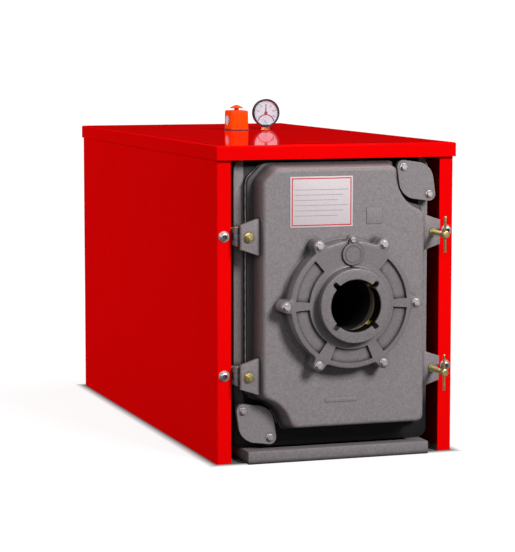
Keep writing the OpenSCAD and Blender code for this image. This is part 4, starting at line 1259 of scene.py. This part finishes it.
class BOILER_OT_fixings(bpy.types.Operator):
    """Sets the bolts, nuts, hinge hardware and clamp screws"""
    bl_idname = "boiler.fixings"
    bl_label = "Fixings"

    # Hex heads and their washers, whose radius is given in head radii
    head_height = 6.5 * MM
    washer_share = 1.3
    washer_thick = 1.6 * MM
    # Rounded edges of the hinge straps and pins
    strap_edge = 1.0 * MM
    pin_edge = 0.8 * MM

    def execute(self, context):
        sizes = context.scene.boiler_fixings
        plate = context.scene.boiler_plate
        tree = bolt_tree()
        circle, front = plate.ear_circle, COLLAR_FRONT - plate.thickness
        ears = [Vector((circle * math.cos(turn), front, BURNER.z + circle * math.sin(turn)))
                for turn in EAR_TURNS]
        self.heads("ear_bolt_heads", tree, ears, sizes.ear_bolt, "door", "plate_bolts")
        slant = sizes.cover_bolt_circle / math.sqrt(2)
        covers = [Vector((place.x + side * slant, COVER_FRONT, place.z - side * slant))
                  for place in PORTS for side in (-1, 1)]
        self.heads("cover_bolt_heads", tree, covers, sizes.cover_bolt, "boiler", "cover_bolts")
        self.jacket_bolts()
        softened("hinge_straps", "hinge_strap_castings", "cast_iron", "door", self.strap_edge)
        softened("hinge_pins", "hinge_pin_rods", "yellow_zinc", "boiler", self.pin_edge)
        self.hinge_nuts(sizes)
        for side, place in CLAMPS.items():
            self.clamp(side, place, sizes)
        return {"FINISHED"}

    def heads(self, name, tree, points, radius, body, node):
        mesh = grown(name, tree, points, {
            "Head radius": radius, "Head height": self.head_height,
            "Washer radius": radius * self.washer_share, "Washer thickness": self.washer_thick,
            "Finish": finish_of("plain_steel")})
        add_mesh(name, mesh, "plain_steel", body, replaces=[node], sharp=25.0)

    def jacket_bolts(self):
        """Round heads with a hexagon socket, each on a washer; a black lining in each socket is painted shade."""
        low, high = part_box("jacket_bolts")
        proud = JACKET_FRONT - low.y
        head, washer, thick = 10.5 * MM, 14 * MM, 2.4 * MM
        button = [(1.0 * MM, 0.0), (1.0 * MM, washer), (-1.8 * MM, washer), (-thick, washer - 0.7 * MM),
                  (-thick, head), (-proud * 0.55, head), (-proud * 0.8, head * 0.93),
                  (-proud * 0.95, head * 0.74), (-proud, head * 0.55), (-proud * 0.6, head * 0.5),
                  (-proud * 0.6, 0.0)]
        # The socket's black lining is painted shade
        recess = [(-proud * 0.62, 0.0), (-proud * 0.62, head * 0.53), (-proud, head * 0.55),
                  (-proud, head * 0.5), (-proud * 0.66, head * 0.47), (-proud * 0.66, 0.0)]
        bm, sockets = bmesh.new(), bmesh.new()
        for x in (low.x + washer, high.x - washer):
            for z in LUG_HEIGHTS:
                place = Vector((x, JACKET_FRONT, z))
                lathe(bm, button, place)
                lathe(sockets, recess, place, sides=6)
        add_piece("jacket_bolt_heads", bm, "plain_steel", "boiler", replaces=["jacket_bolts"])
        add_piece("jacket_bolt_socket_shade", sockets, "black_plastic", "boiler", sharp=20.0)

    def hinge_nuts(self, sizes):
        """Nuts and bolt ends on the hinge lugs, with their heads behind the straps."""
        low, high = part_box("hinge_bolts")
        x, nut, shank = (low.x + high.x) / 2, (high.x - low.x) / 2, sizes.shank
        stud, tall, washer, head, chamfer = 15 * MM, 10 * MM, 1.6 * MM, 7 * MM, 1 * MM
        flat, disc = nut * 0.97, nut * 1.12
        lug_front = low.y + stud
        long = high.y - lug_front - head
        bm = bmesh.new()
        for z in LUG_HEIGHTS:
            place = Vector((x, lug_front, z))
            lathe(bm, [(0.0, 0.0), (0.0, disc), (-washer, disc), (-washer, 0.0)], place)
            lathe(bm, [(-washer, 0.0), (-washer, flat), (chamfer - tall, flat), (-tall, nut * 0.84),
                       (-tall, 0.0)], place, sides=6)
            thread(bm, place, shank, -stud, chamfer - tall, sizes.thread_pitch)
            lathe(bm, [(0.0, 0.0), (0.0, shank), (long, shank), (long, 0.0)], place)
            lathe(bm, [(-head, 0.0), (-head, flat), (-chamfer, flat), (0.0, nut * 0.86), (0.0, 0.0)],
                  Vector((x, high.y, z)), sides=6)
        add_piece("hinge_nuts", bm, "yellow_zinc", "door", replaces=["hinge_bolts"], sharp=25.0)

    def clamp(self, side, place, sizes):
        """A clamp screw with a turned hub, a ring on each side of its lug, and the T-bar through it."""
        low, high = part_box(side + "_screw")
        start = Vector((place.x, low.y, place.z))
        door = bpy.context.scene.boiler_door
        lug = COLLAR_FRONT + door.collar + door.lug_back - low.y
        back = lug + door.lug_thickness
        hub, hub_end, shank, core = 9 * MM, 18 * MM, sizes.shank, sizes.shank * 0.9
        ring, thick, chamfer, gap = shank + 4 * MM, 3 * MM, 0.6 * MM, 0.3 * MM
        bm = bmesh.new()
        lathe(bm, rounded_profile([(0.0, 0.0, 0), (0.0, hub, 2 * MM), (hub_end, hub, 1.2 * MM),
                                   (hub_end, shank, 0), (hub_end + 4 * MM, core, 0)]), start)
        thread(bm, start, shank, hub_end + 2 * MM, high.y - low.y, sizes.thread_pitch)
        for y in (lug - thick - gap, back + gap):
            lathe(bm, [(y, core), (y, ring - chamfer), (y + chamfer, ring), (y + thick - chamfer, ring),
                       (y + thick, ring - chamfer), (y + thick, core)], start)
        add_piece(side + "_spindle", bm, "yellow_zinc", side, replaces=[side + "_screw"])
        low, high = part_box(side + "_bar")
        bar, half, tip = (high.x - low.x) / 2, (high.z - low.z) / 2, 1.8 * MM
        bm = bmesh.new()
        lathe(bm, rounded_profile([(-half, 0.0, 0), (-half, bar, tip), (half, bar, tip), (half, 0.0, 0)], 6),
              (low + high) / 2, axis="Z", sides=24)
        add_piece(side + "_tee", bm, "yellow_zinc", side, replaces=[side + "_bar"])


def thread(bm, place, radius, start, end, pitch, sides=24, steps=6):
    """Adds a threaded rod along Y between two places."""
    count = max(2, round((end - start) / pitch * steps))
    rings = [[place + Vector((0.0, start, 0.0))]]
    for i in range(count + 1):
        y = start + (end - start) * i / count
        ring = []
        for j in range(sides):
            phase = (y / pitch + j / sides) % 1.0
            depth = abs(2 * phase - 1) * pitch * 0.45
            taper = min(1.0, (i + 1) / steps, (count - i + 1) / steps)
            reach = radius - depth - (1 - taper) * pitch * 0.5
            turn = 2 * math.pi * j / sides
            ring.append(place + Vector((reach * math.sin(turn), y, reach * math.cos(turn))))
        rings.append(ring)
    rings.append([place + Vector((0.0, end, 0.0))])
    loft(bm, rings)


class BOILER_OT_controls(bpy.types.Operator):
    """Fits the gauge and the thermostat on the lid, and the blank plate on the door"""
    bl_idname = "boiler.controls"
    bl_label = "Controls"

    # The dial's scale: its start and sweep in degrees, its last number and their step, radii and number size
    scale_start = -25
    scale_sweep = 230
    scale_end = 120
    scale_step = 20
    scale_radius = 31.5 * MM
    number_radius = 24 * MM
    number_size = 6 * MM
    # Heights over the dial of its marks, numbers, coloured arc, small needle, main needle and hub
    mark_lift = 0.1 * MM
    number_lift = 0.15 * MM
    arc_lift = 0.2 * MM
    small_lift = 0.8 * MM
    needle_lift = 1.2 * MM
    hub_lift = 1.4 * MM
    # The thermostat's cover: its corners' radius, and insets in millimetres at shares of its height
    cover_corner = 5 * MM
    cover_levels = ((0.0, 0.0), (0.06, 0.0), (0.9, 0.5), (0.95, 0.8), (0.985, 2.0), (1.0, 3.6))
    # The blank plate: its thickness, its frame's inset and width, and how far its print stands off the door
    plate_thick = 1.0 * MM
    border_inset = 4 * MM
    border_width = 2.6 * MM
    print_front = 1.12 * MM
    print_edge = 0.03 * MM
    # Ruled lines on the plate: their number, the first one's drop, pitch, height, margin and how they shorten
    lines = 6
    line_drop = 34 * MM
    line_pitch = 13 * MM
    line_height = 1.6 * MM
    line_margin = 12 * MM
    line_step = 14 * MM

    def execute(self, context):
        sizes = context.scene.boiler_controls
        self.gauge_case()
        self.gauge_stem()
        self.gauge_face(sizes)
        self.thermostat()
        self.door_plate(sizes, context.scene.boiler_door)
        return {"FINISHED"}

    def gauge_case(self):
        low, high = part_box("gauge_case")
        radius, depth = (high.x - low.x) / 2, high.y - low.y
        seat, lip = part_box("gauge_dial")[1].y - low.y, radius - 4.6 * MM
        bezel = [(seat, 0.0), (seat, lip), (1.2 * MM, lip), (0.2 * MM, radius - 3.8 * MM),
                 (0.0, radius - 1.2 * MM), (0.5 * MM, radius - 0.3 * MM), (1.5 * MM, radius),
                 (4.5 * MM, radius)]
        can = [(5.2 * MM, radius - 1.0 * MM), (depth - 3 * MM, radius - 1.4 * MM),
               (depth - 0.8 * MM, radius - 2.4 * MM), (depth, radius - 5 * MM), (depth, 0.0)]
        bm = bmesh.new()
        lathe(bm, bezel + can, Vector((GAUGE.x, low.y, GAUGE.z)), sides=96)
        neck, collar, rise = 7 * MM, 8.5 * MM, 8 * MM
        lathe(bm, [(0.0, 0.0), (0.0, neck), (6 * MM, neck), (rise, collar), (rise, 0.0)],
              Vector((GAUGE.x, GAUGE.y, low.z)), axis="Z")
        add_piece("gauge_housing", bm, "gauge_case", "boiler", replaces=["gauge_case"])

    def gauge_stem(self):
        """A hexagon on the lid, with a round pipe down through it."""
        low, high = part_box("gauge_stem")
        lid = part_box("lid")[1].z
        place = Vector((GAUGE.x, GAUGE.y, lid))
        nut, top, edge = (high.x - low.x) / 2, high.z - lid, 0.7 * MM
        pipe, bottom, chamfer = 7 * MM, low.z - lid, 1 * MM
        bm = bmesh.new()
        lathe(bm, [(0.0, 0.0), (0.0, nut * 0.9), (edge, nut), (top - edge, nut), (top, nut * 0.88),
                   (top, 0.0)], place, axis="Z", sides=6)
        lathe(bm, [(bottom, 0.0), (bottom, pipe - chamfer), (bottom + chamfer, pipe), (0.0, pipe),
                   (0.0, 0.0)], place, axis="Z")
        add_piece("gauge_fitting", bm, "brass", "boiler", replaces=["gauge_stem"], sharp=25.0)

    def on_dial(self, mesh, lift):
        """Turns a mesh drawn in X and Y to face the front, on the dial."""
        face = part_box("gauge_dial")[0].y - lift
        mesh.transform(Matrix.Translation((GAUGE.x, face, GAUGE.z)) @ Matrix.Rotation(math.pi / 2, 4, "X"))
        return mesh

    def gauge_face(self, sizes):
        tree = mark_tree()
        scale = (self.scale_radius, self.scale_start, self.scale_sweep)
        count = sizes.dial_marks
        self.marks("dial_marks", tree, count, *scale, 3.2 * MM, 0.45 * MM)
        self.marks("dial_main_marks", tree, (count - 1) // 5 + 1, *scale, 5.2 * MM, 0.8 * MM)
        self.marks("dial_window_marks", tree, 13, 17 * MM, 35, 110, 2 * MM, 0.4 * MM, drop=30 * MM)
        band = self.band((0.0, -31 * MM), 27 * MM, 2.8 * MM, 15, 165)
        self.flat("dial_arc", band, self.arc_lift, "dial_red")
        self.flat("dial_hub", arc((0.0, 0.0), 4.8 * MM, 0, 345, 23), self.hub_lift, "dial_red")
        half, tail, tip = sizes.needle / 2, -7 * MM, 25 * MM
        needle = [(-half * 1.5, tail), (half * 1.5, tail), (half, 0), (half * 0.4, tip), (-half * 0.4, tip),
                  (-half, 0)]
        self.flat("dial_needle", needle, self.needle_lift, "dial_red")
        tip, root = Vector((-8.0, -18.0)) * MM, Vector((1.5, -31.0)) * MM
        across = Vector((-(tip - root).y, (tip - root).x)).normalized() * 0.7 * MM
        needle = [tuple(root - across), tuple(root + across), tuple(tip + across * 0.4),
                  tuple(tip - across * 0.4)]
        self.flat("dial_window_needle", needle, self.small_lift, "print_black")
        for number in range(self.scale_end, -1, -self.scale_step):
            turn = math.radians(self.scale_start + self.scale_sweep * (1 - number / self.scale_end))
            self.number(str(number), self.number_radius * math.cos(turn), self.number_radius * math.sin(turn))

    def marks(self, name, tree, count, radius, start, sweep, long, wide, drop=0.0):
        """Printed marks along an arc of the dial, whose middle may lie lower."""
        mesh = grown(name, tree, [(0, 0, 0)], {
            "Count": count, "Radius": radius, "Start": math.radians(start), "Sweep": math.radians(sweep),
            "Length": long, "Width": wide, "Thickness": 0.2 * MM, "Finish": finish_of("print_black")})
        mesh.transform(Matrix.Translation((0.0, -drop, 0.0)))
        add_mesh(name, self.on_dial(mesh, self.mark_lift), "print_black", "boiler")

    def band(self, centre, radius, width, start, end):
        """Outline of a strip along an arc."""
        outer = arc(centre, radius, start, end, 24)
        inner = arc(centre, radius - width, end, start, 24)
        return outer + inner

    def flat(self, name, outline, lift, finish):
        """A thin printed or cut shape over the dial."""
        bm = bmesh.new()
        bottom = [bm.verts.new((x, y, 0.0)) for x, y in outline]
        top = [bm.verts.new((x, y, 0.25 * MM)) for x, y in outline]
        bm.faces.new(bottom[::-1])
        bm.faces.new(top)
        bridge(bm, bottom, top)
        outward(bm)
        add_mesh(name, self.on_dial(mesh_of(name, bm), lift), finish, "boiler")

    def number(self, text, x, y):
        """A plain number on the dial."""
        curve = bpy.data.curves.new("dial_number", "FONT")
        curve.body = text
        curve.size = self.number_size
        curve.align_x = "CENTER"
        curve.align_y = "CENTER"
        curve.extrude = 0.05 * MM
        mesh = baked(loose_object("dial_number.source", curve))
        mesh.transform(Matrix.Translation((x, y, 0.0)))
        mesh = self.on_dial(mesh, self.number_lift)
        add_mesh("dial_number_" + text, mesh, "print_black", "boiler")

    def thermostat(self):
        bm = bmesh.new()
        block(bm, *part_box("thermostat_base"), 1.2 * MM)
        add_piece("thermostat_gasket", bm, "black_plastic", "boiler", replaces=["thermostat_base"])
        low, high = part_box("thermostat_housing")
        centre, half, rise = (low + high) / 2, (high - low) / 2, high.z - low.z
        rings = [[(centre.x, centre.y, low.z)]]
        for share, inset in self.cover_levels:
            across, along = half.x - inset * MM, half.y - inset * MM
            rings.append(self.round_box(centre, across, along, self.cover_corner, low.z + share * rise))
        rings.append([(centre.x, centre.y, high.z)])
        bm = bmesh.new()
        loft(bm, rings)
        add_piece("thermostat_cover", bm, "orange_plastic", "boiler", replaces=["thermostat_housing"])
        disc, boss, front, boss_front = 14 * MM, 6 * MM, -3 * MM, -3.6 * MM
        bm = bmesh.new()
        lathe(bm, [(1 * MM, 0.0), (1 * MM, disc), (-2 * MM, disc), (front, 13 * MM), (front, boss),
                   (boss_front, 5.4 * MM), (boss_front, 0.0)],
              Vector((low.x, centre.y, low.z + 0.46 * rise)), axis="X")
        add_piece("thermostat_scale", bm, "dial_white", "boiler")
        self.thermostat_knob()

    def thermostat_knob(self):
        """A knob on a neck, wide at its skirt and narrow at its top."""
        low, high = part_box("thermostat_knob")
        centre = (low + high) / 2
        radius, rise = (high.x - low.x) / 2, high.z - low.z
        skirt, shoulder, edge = rise * 0.42, rise * 0.53, 0.6 * MM
        bm = bmesh.new()
        lathe(bm, rounded_profile([(0.0, 0.0, 0), (0.0, 7 * MM, 0), (skirt, 6.4 * MM, 1 * MM),
                                   (skirt, radius, edge), (shoulder, radius, edge),
                                   (rise, 4 * MM, 1.6 * MM), (rise, 0.0, 0)]),
              Vector((centre.x, centre.y, low.z)), axis="Z", sides=64)
        add_piece("thermostat_cap", bm, "orange_plastic", "boiler", replaces=["thermostat_knob"])

    def round_box(self, centre, half_x, half_y, radius, z):
        """A ring of points round a box with round corners, at one height."""
        ring = []
        for i, (sx, sy) in enumerate(((1, 1), (-1, 1), (-1, -1), (1, -1))):
            corner = (centre.x + sx * (half_x - radius), centre.y + sy * (half_y - radius))
            ring += [(x, y, z) for x, y in arc(corner, radius, 90 * i, 90 * i + 90, 5)]
        return ring

    def door_plate(self, sizes, door):
        """A blank white plate with a thin red frame and ruled lines on the door's face."""
        face = COLLAR_FRONT + door.collar
        centre = Vector((-sizes.plate_left, face, BURNER.z + sizes.plate_up))
        half = Vector((sizes.plate_width / 2, 0.0, sizes.plate_height / 2))
        bm = bmesh.new()
        block(bm, centre - half - Vector((0, self.plate_thick, 0)), centre + half, 0.4 * MM, 2)
        add_piece("door_label_plate", bm, "label_white", "door")
        self.plate_border(centre, half)
        front, back = face - self.print_front, face - 0.9 * MM
        left, right = centre.x - half.x + self.line_margin, centre.x + half.x - self.line_margin
        bm = bmesh.new()
        for i in range(self.lines):
            z = centre.z + half.z - self.line_drop - self.line_pitch * i
            end = right - self.line_step * (i % 3)
            block(bm, (left, front, z), (end, back, z + self.line_height), self.print_edge, 1)
        add_piece("door_label_lines", bm, "print_grey", "door")

    def plate_border(self, centre, half):
        """A thin printed frame, set in from the plate's edge."""
        front, back = centre.y - self.print_front, centre.y - self.print_front + 0.2 * MM
        width = self.border_width
        x, z = half.x - self.border_inset, half.z - self.border_inset
        bars = (((-x, z - width), (x, z)), ((-x, -z), (x, -z + width)),
                ((-x, -z + width), (-x + width, z - width)), ((x - width, -z + width), (x, z - width)))
        bm = bmesh.new()
        for low, high in bars:
            block(bm, (centre.x + low[0], front, centre.z + low[1]),
                  (centre.x + high[0], back, centre.z + high[1]), self.print_edge, 1)
        add_piece("door_label_border", bm, "print_red", "door")


class BOILER_OT_stage(bpy.types.Operator):
    """Builds the pale floor, the studio light and the camera at the photograph's angle"""
    bl_idname = "boiler.stage"
    bl_label = "Stage"

    # Camera: its place and aim in metres, and its focal length in pixels of a picture 552 pixels high
    camera_place = (-1.9509, -5.8263, 1.0626)
    camera_aim = (-0.211, -0.6475, 0.473)
    focal_pixels = 2197.0
    picture_height = 552.0
    # Area lights: name, place and aim in metres, size and watts
    lamps = (("key", (1.7, -5.4, 3.3), (0.0, -0.5, 0.4), 1.6, 400.0),
             ("side", (-5.2, 2.2, 2.4), (-0.3, 0.1, 0.4), 2.6, 208.0),
             ("fill", (-3.6, -5.0, 3.6), (-0.1, -0.6, 0.4), 2.2, 70.0),
             ("top", (1.0, 0.7, 4.0), (0.0, 0.0, 0.8), 1.6, 72.0))
    # World: the strength that lights surfaces, and the rise over which its mirror image goes from dark
    # to white
    world_light = 0.1
    mirror_rise = (0.16, 0.6, 0.003, 1.0)
    # Floor: half its width in metres, its grey, how its glow grows from the middle, and how it grows from the
    # jacket's edge, which paints a shadow under and beside the jacket
    floor_half = 60
    floor_grey = 0.16
    glow_spread = (0.9, 3.0, 0.88, 1.05)
    glow_edge = (0.0, 0.03, 0.0, 1.0)

    def execute(self, context):
        scene = context.scene
        scene.view_settings.view_transform = "Standard"
        self.floor()
        self.world(scene)
        for lamp in self.lamps:
            self.lamp(*lamp)
        camera = bpy.data.objects.new("camera", bpy.data.cameras.new("camera"))
        scene.collection.objects.link(camera)
        camera.data.sensor_fit = "VERTICAL"
        camera.data.sensor_height = 36.0
        camera.data.lens = self.focal_pixels / self.picture_height * camera.data.sensor_height
        camera.data.clip_end = 200.0
        self.aim(camera, self.camera_place, self.camera_aim)
        scene.camera = camera
        return {"FINISHED"}

    def aim(self, thing, place, target):
        thing.location = place
        thing.rotation_euler = (Vector(target) - Vector(place)).to_track_quat("-Z", "Y").to_euler()

    def lamp(self, name, place, target, size, watts):
        data = bpy.data.lights.new(name, "AREA")
        data.size = size
        data.energy = watts
        lamp = bpy.data.objects.new(name, data)
        bpy.context.scene.collection.objects.link(lamp)
        self.aim(lamp, place, target)

    def seen(self, nodes, links):
        """A factor of 1 for the camera, straight or through glass, and 0 for the light on surfaces."""
        path = nodes.new("ShaderNodeLightPath").outputs
        return calculated(nodes, links, "MAXIMUM", path["Is Camera Ray"], path["Is Transmission Ray"])

    def mixed(self, nodes, links, factor, first, second):
        """One shader where a factor is 0 and another where it is 1."""
        mix = nodes.new("ShaderNodeMixShader")
        for socket, source in zip(mix.inputs, (factor, first, second)):
            links.new(source, socket)
        return mix.outputs[0]

    def box_distance(self, nodes, links, place):
        """How far a point of the floor lies outside the jacket, less than nothing under it."""
        low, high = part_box("left_panel")[0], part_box("right_panel")[1]
        centre, half = (low + high) / 2, (high - low) / 2
        shifted = calculated(nodes, links, "SUBTRACT", place, (centre.x, centre.y, 0.0), kind=VECTOR)
        size = calculated(nodes, links, "ABSOLUTE", shifted, kind=VECTOR)
        beyond = calculated(nodes, links, "SUBTRACT", size, (half.x, half.y, 0.0), kind=VECTOR)
        sides = nodes.new("ShaderNodeSeparateXYZ")
        links.new(beyond, sides.inputs[0])
        return calculated(nodes, links, "MAXIMUM", sides.outputs["X"], sides.outputs["Y"])

    def world(self, scene):
        scene.world = bpy.data.worlds.new("studio")
        scene.world.use_nodes = True
        nodes, links = scene.world.node_tree.nodes, scene.world.node_tree.links
        nodes.clear()
        white, light, mirrored = (nodes.new("ShaderNodeBackground") for _ in range(3))
        for background, strength in ((white, 1.0), (light, self.world_light)):
            background.inputs["Color"].default_value = (1.0, 1.0, 1.0, 1.0)
            background.inputs["Strength"].default_value = strength
        rise = nodes.new("ShaderNodeSeparateXYZ")
        links.new(nodes.new("ShaderNodeTexCoord").outputs["Generated"], rise.inputs[0])
        links.new(ramp(nodes, links, rise.outputs["Z"], *self.mirror_rise), mirrored.inputs["Strength"])
        path = nodes.new("ShaderNodeLightPath").outputs
        unseen = self.mixed(nodes, links, path["Is Glossy Ray"], light.outputs[0], mirrored.outputs[0])
        surface = self.mixed(nodes, links, self.seen(nodes, links), unseen, white.outputs[0])
        links.new(surface, nodes.new("ShaderNodeOutputWorld").inputs["Surface"])

    def floor(self):
        half = self.floor_half
        bm = bmesh.new()
        corners = ((-half, -half), (half, -half), (half, half), (-half, half))
        bm.faces.new([bm.verts.new((x, y, 0.0)) for x, y in corners])
        mesh = mesh_of("floor", bm)
        floor = bpy.data.objects.new("floor", mesh)
        bpy.context.scene.collection.objects.link(floor)
        material = bpy.data.materials.new("pale floor")
        material.use_nodes = True
        nodes, links = material.node_tree.nodes, material.node_tree.links
        nodes.clear()
        paint, glow = nodes.new("ShaderNodeBsdfDiffuse"), nodes.new("ShaderNodeEmission")
        paint.inputs["Color"].default_value = (self.floor_grey, self.floor_grey, self.floor_grey, 1.0)
        place = nodes.new("ShaderNodeTexCoord").outputs["Object"]
        away = calculated(nodes, links, "LENGTH", place, kind=VECTOR, result="Value")
        spread = ramp(nodes, links, away, *self.glow_spread)
        # Painted shadow: the glow fades out under and beside the jacket
        beside = ramp(nodes, links, self.box_distance(nodes, links, place), *self.glow_edge)
        links.new(calculated(nodes, links, "MULTIPLY", spread, beside), glow.inputs["Strength"])
        lit = nodes.new("ShaderNodeAddShader")
        links.new(paint.outputs[0], lit.inputs[0])
        links.new(glow.outputs[0], lit.inputs[1])
        surface = self.mixed(nodes, links, self.seen(nodes, links), paint.outputs[0], lit.outputs[0])
        links.new(surface, nodes.new("ShaderNodeOutputMaterial").inputs["Surface"])
        mesh.materials.append(material)


OPERATORS = (BOILER_OT_stage, BOILER_OT_jacket, BOILER_OT_castings, BOILER_OT_door, BOILER_OT_burner_plate,
             BOILER_OT_fixings, BOILER_OT_controls)


class BOILER_PT_dressing(bpy.types.Panel):
    """Lists the steps that dress the boiler, with their settings"""
    bl_idname = "BOILER_PT_dressing"
    bl_label = "Boiler dressing"
    bl_space_type = "VIEW_3D"
    bl_region_type = "UI"
    bl_category = "Boiler"

    def draw(self, context):
        for operator in OPERATORS:
            self.layout.operator(operator.bl_idname)
        for name, group in SETTINGS.items():
            box = self.layout.box()
            for setting in group.__annotations__:
                box.prop(getattr(context.scene, name), setting)


CLASSES = (*SETTINGS.values(), *OPERATORS, BOILER_PT_dressing)


def register():
    for item in CLASSES:
        bpy.utils.register_class(item)
    for name, group in SETTINGS.items():
        setattr(bpy.types.Scene, name, PointerProperty(type=group))


def unregister():
    for name in SETTINGS:
        delattr(bpy.types.Scene, name)
    for item in reversed(CLASSES):
        bpy.utils.unregister_class(item)


def main():
    register()
    for operator in OPERATORS:
        group, name = operator.bl_idname.split(".")
        getattr(getattr(bpy.ops, group), name)()


if __name__ == "__main__":
    main()
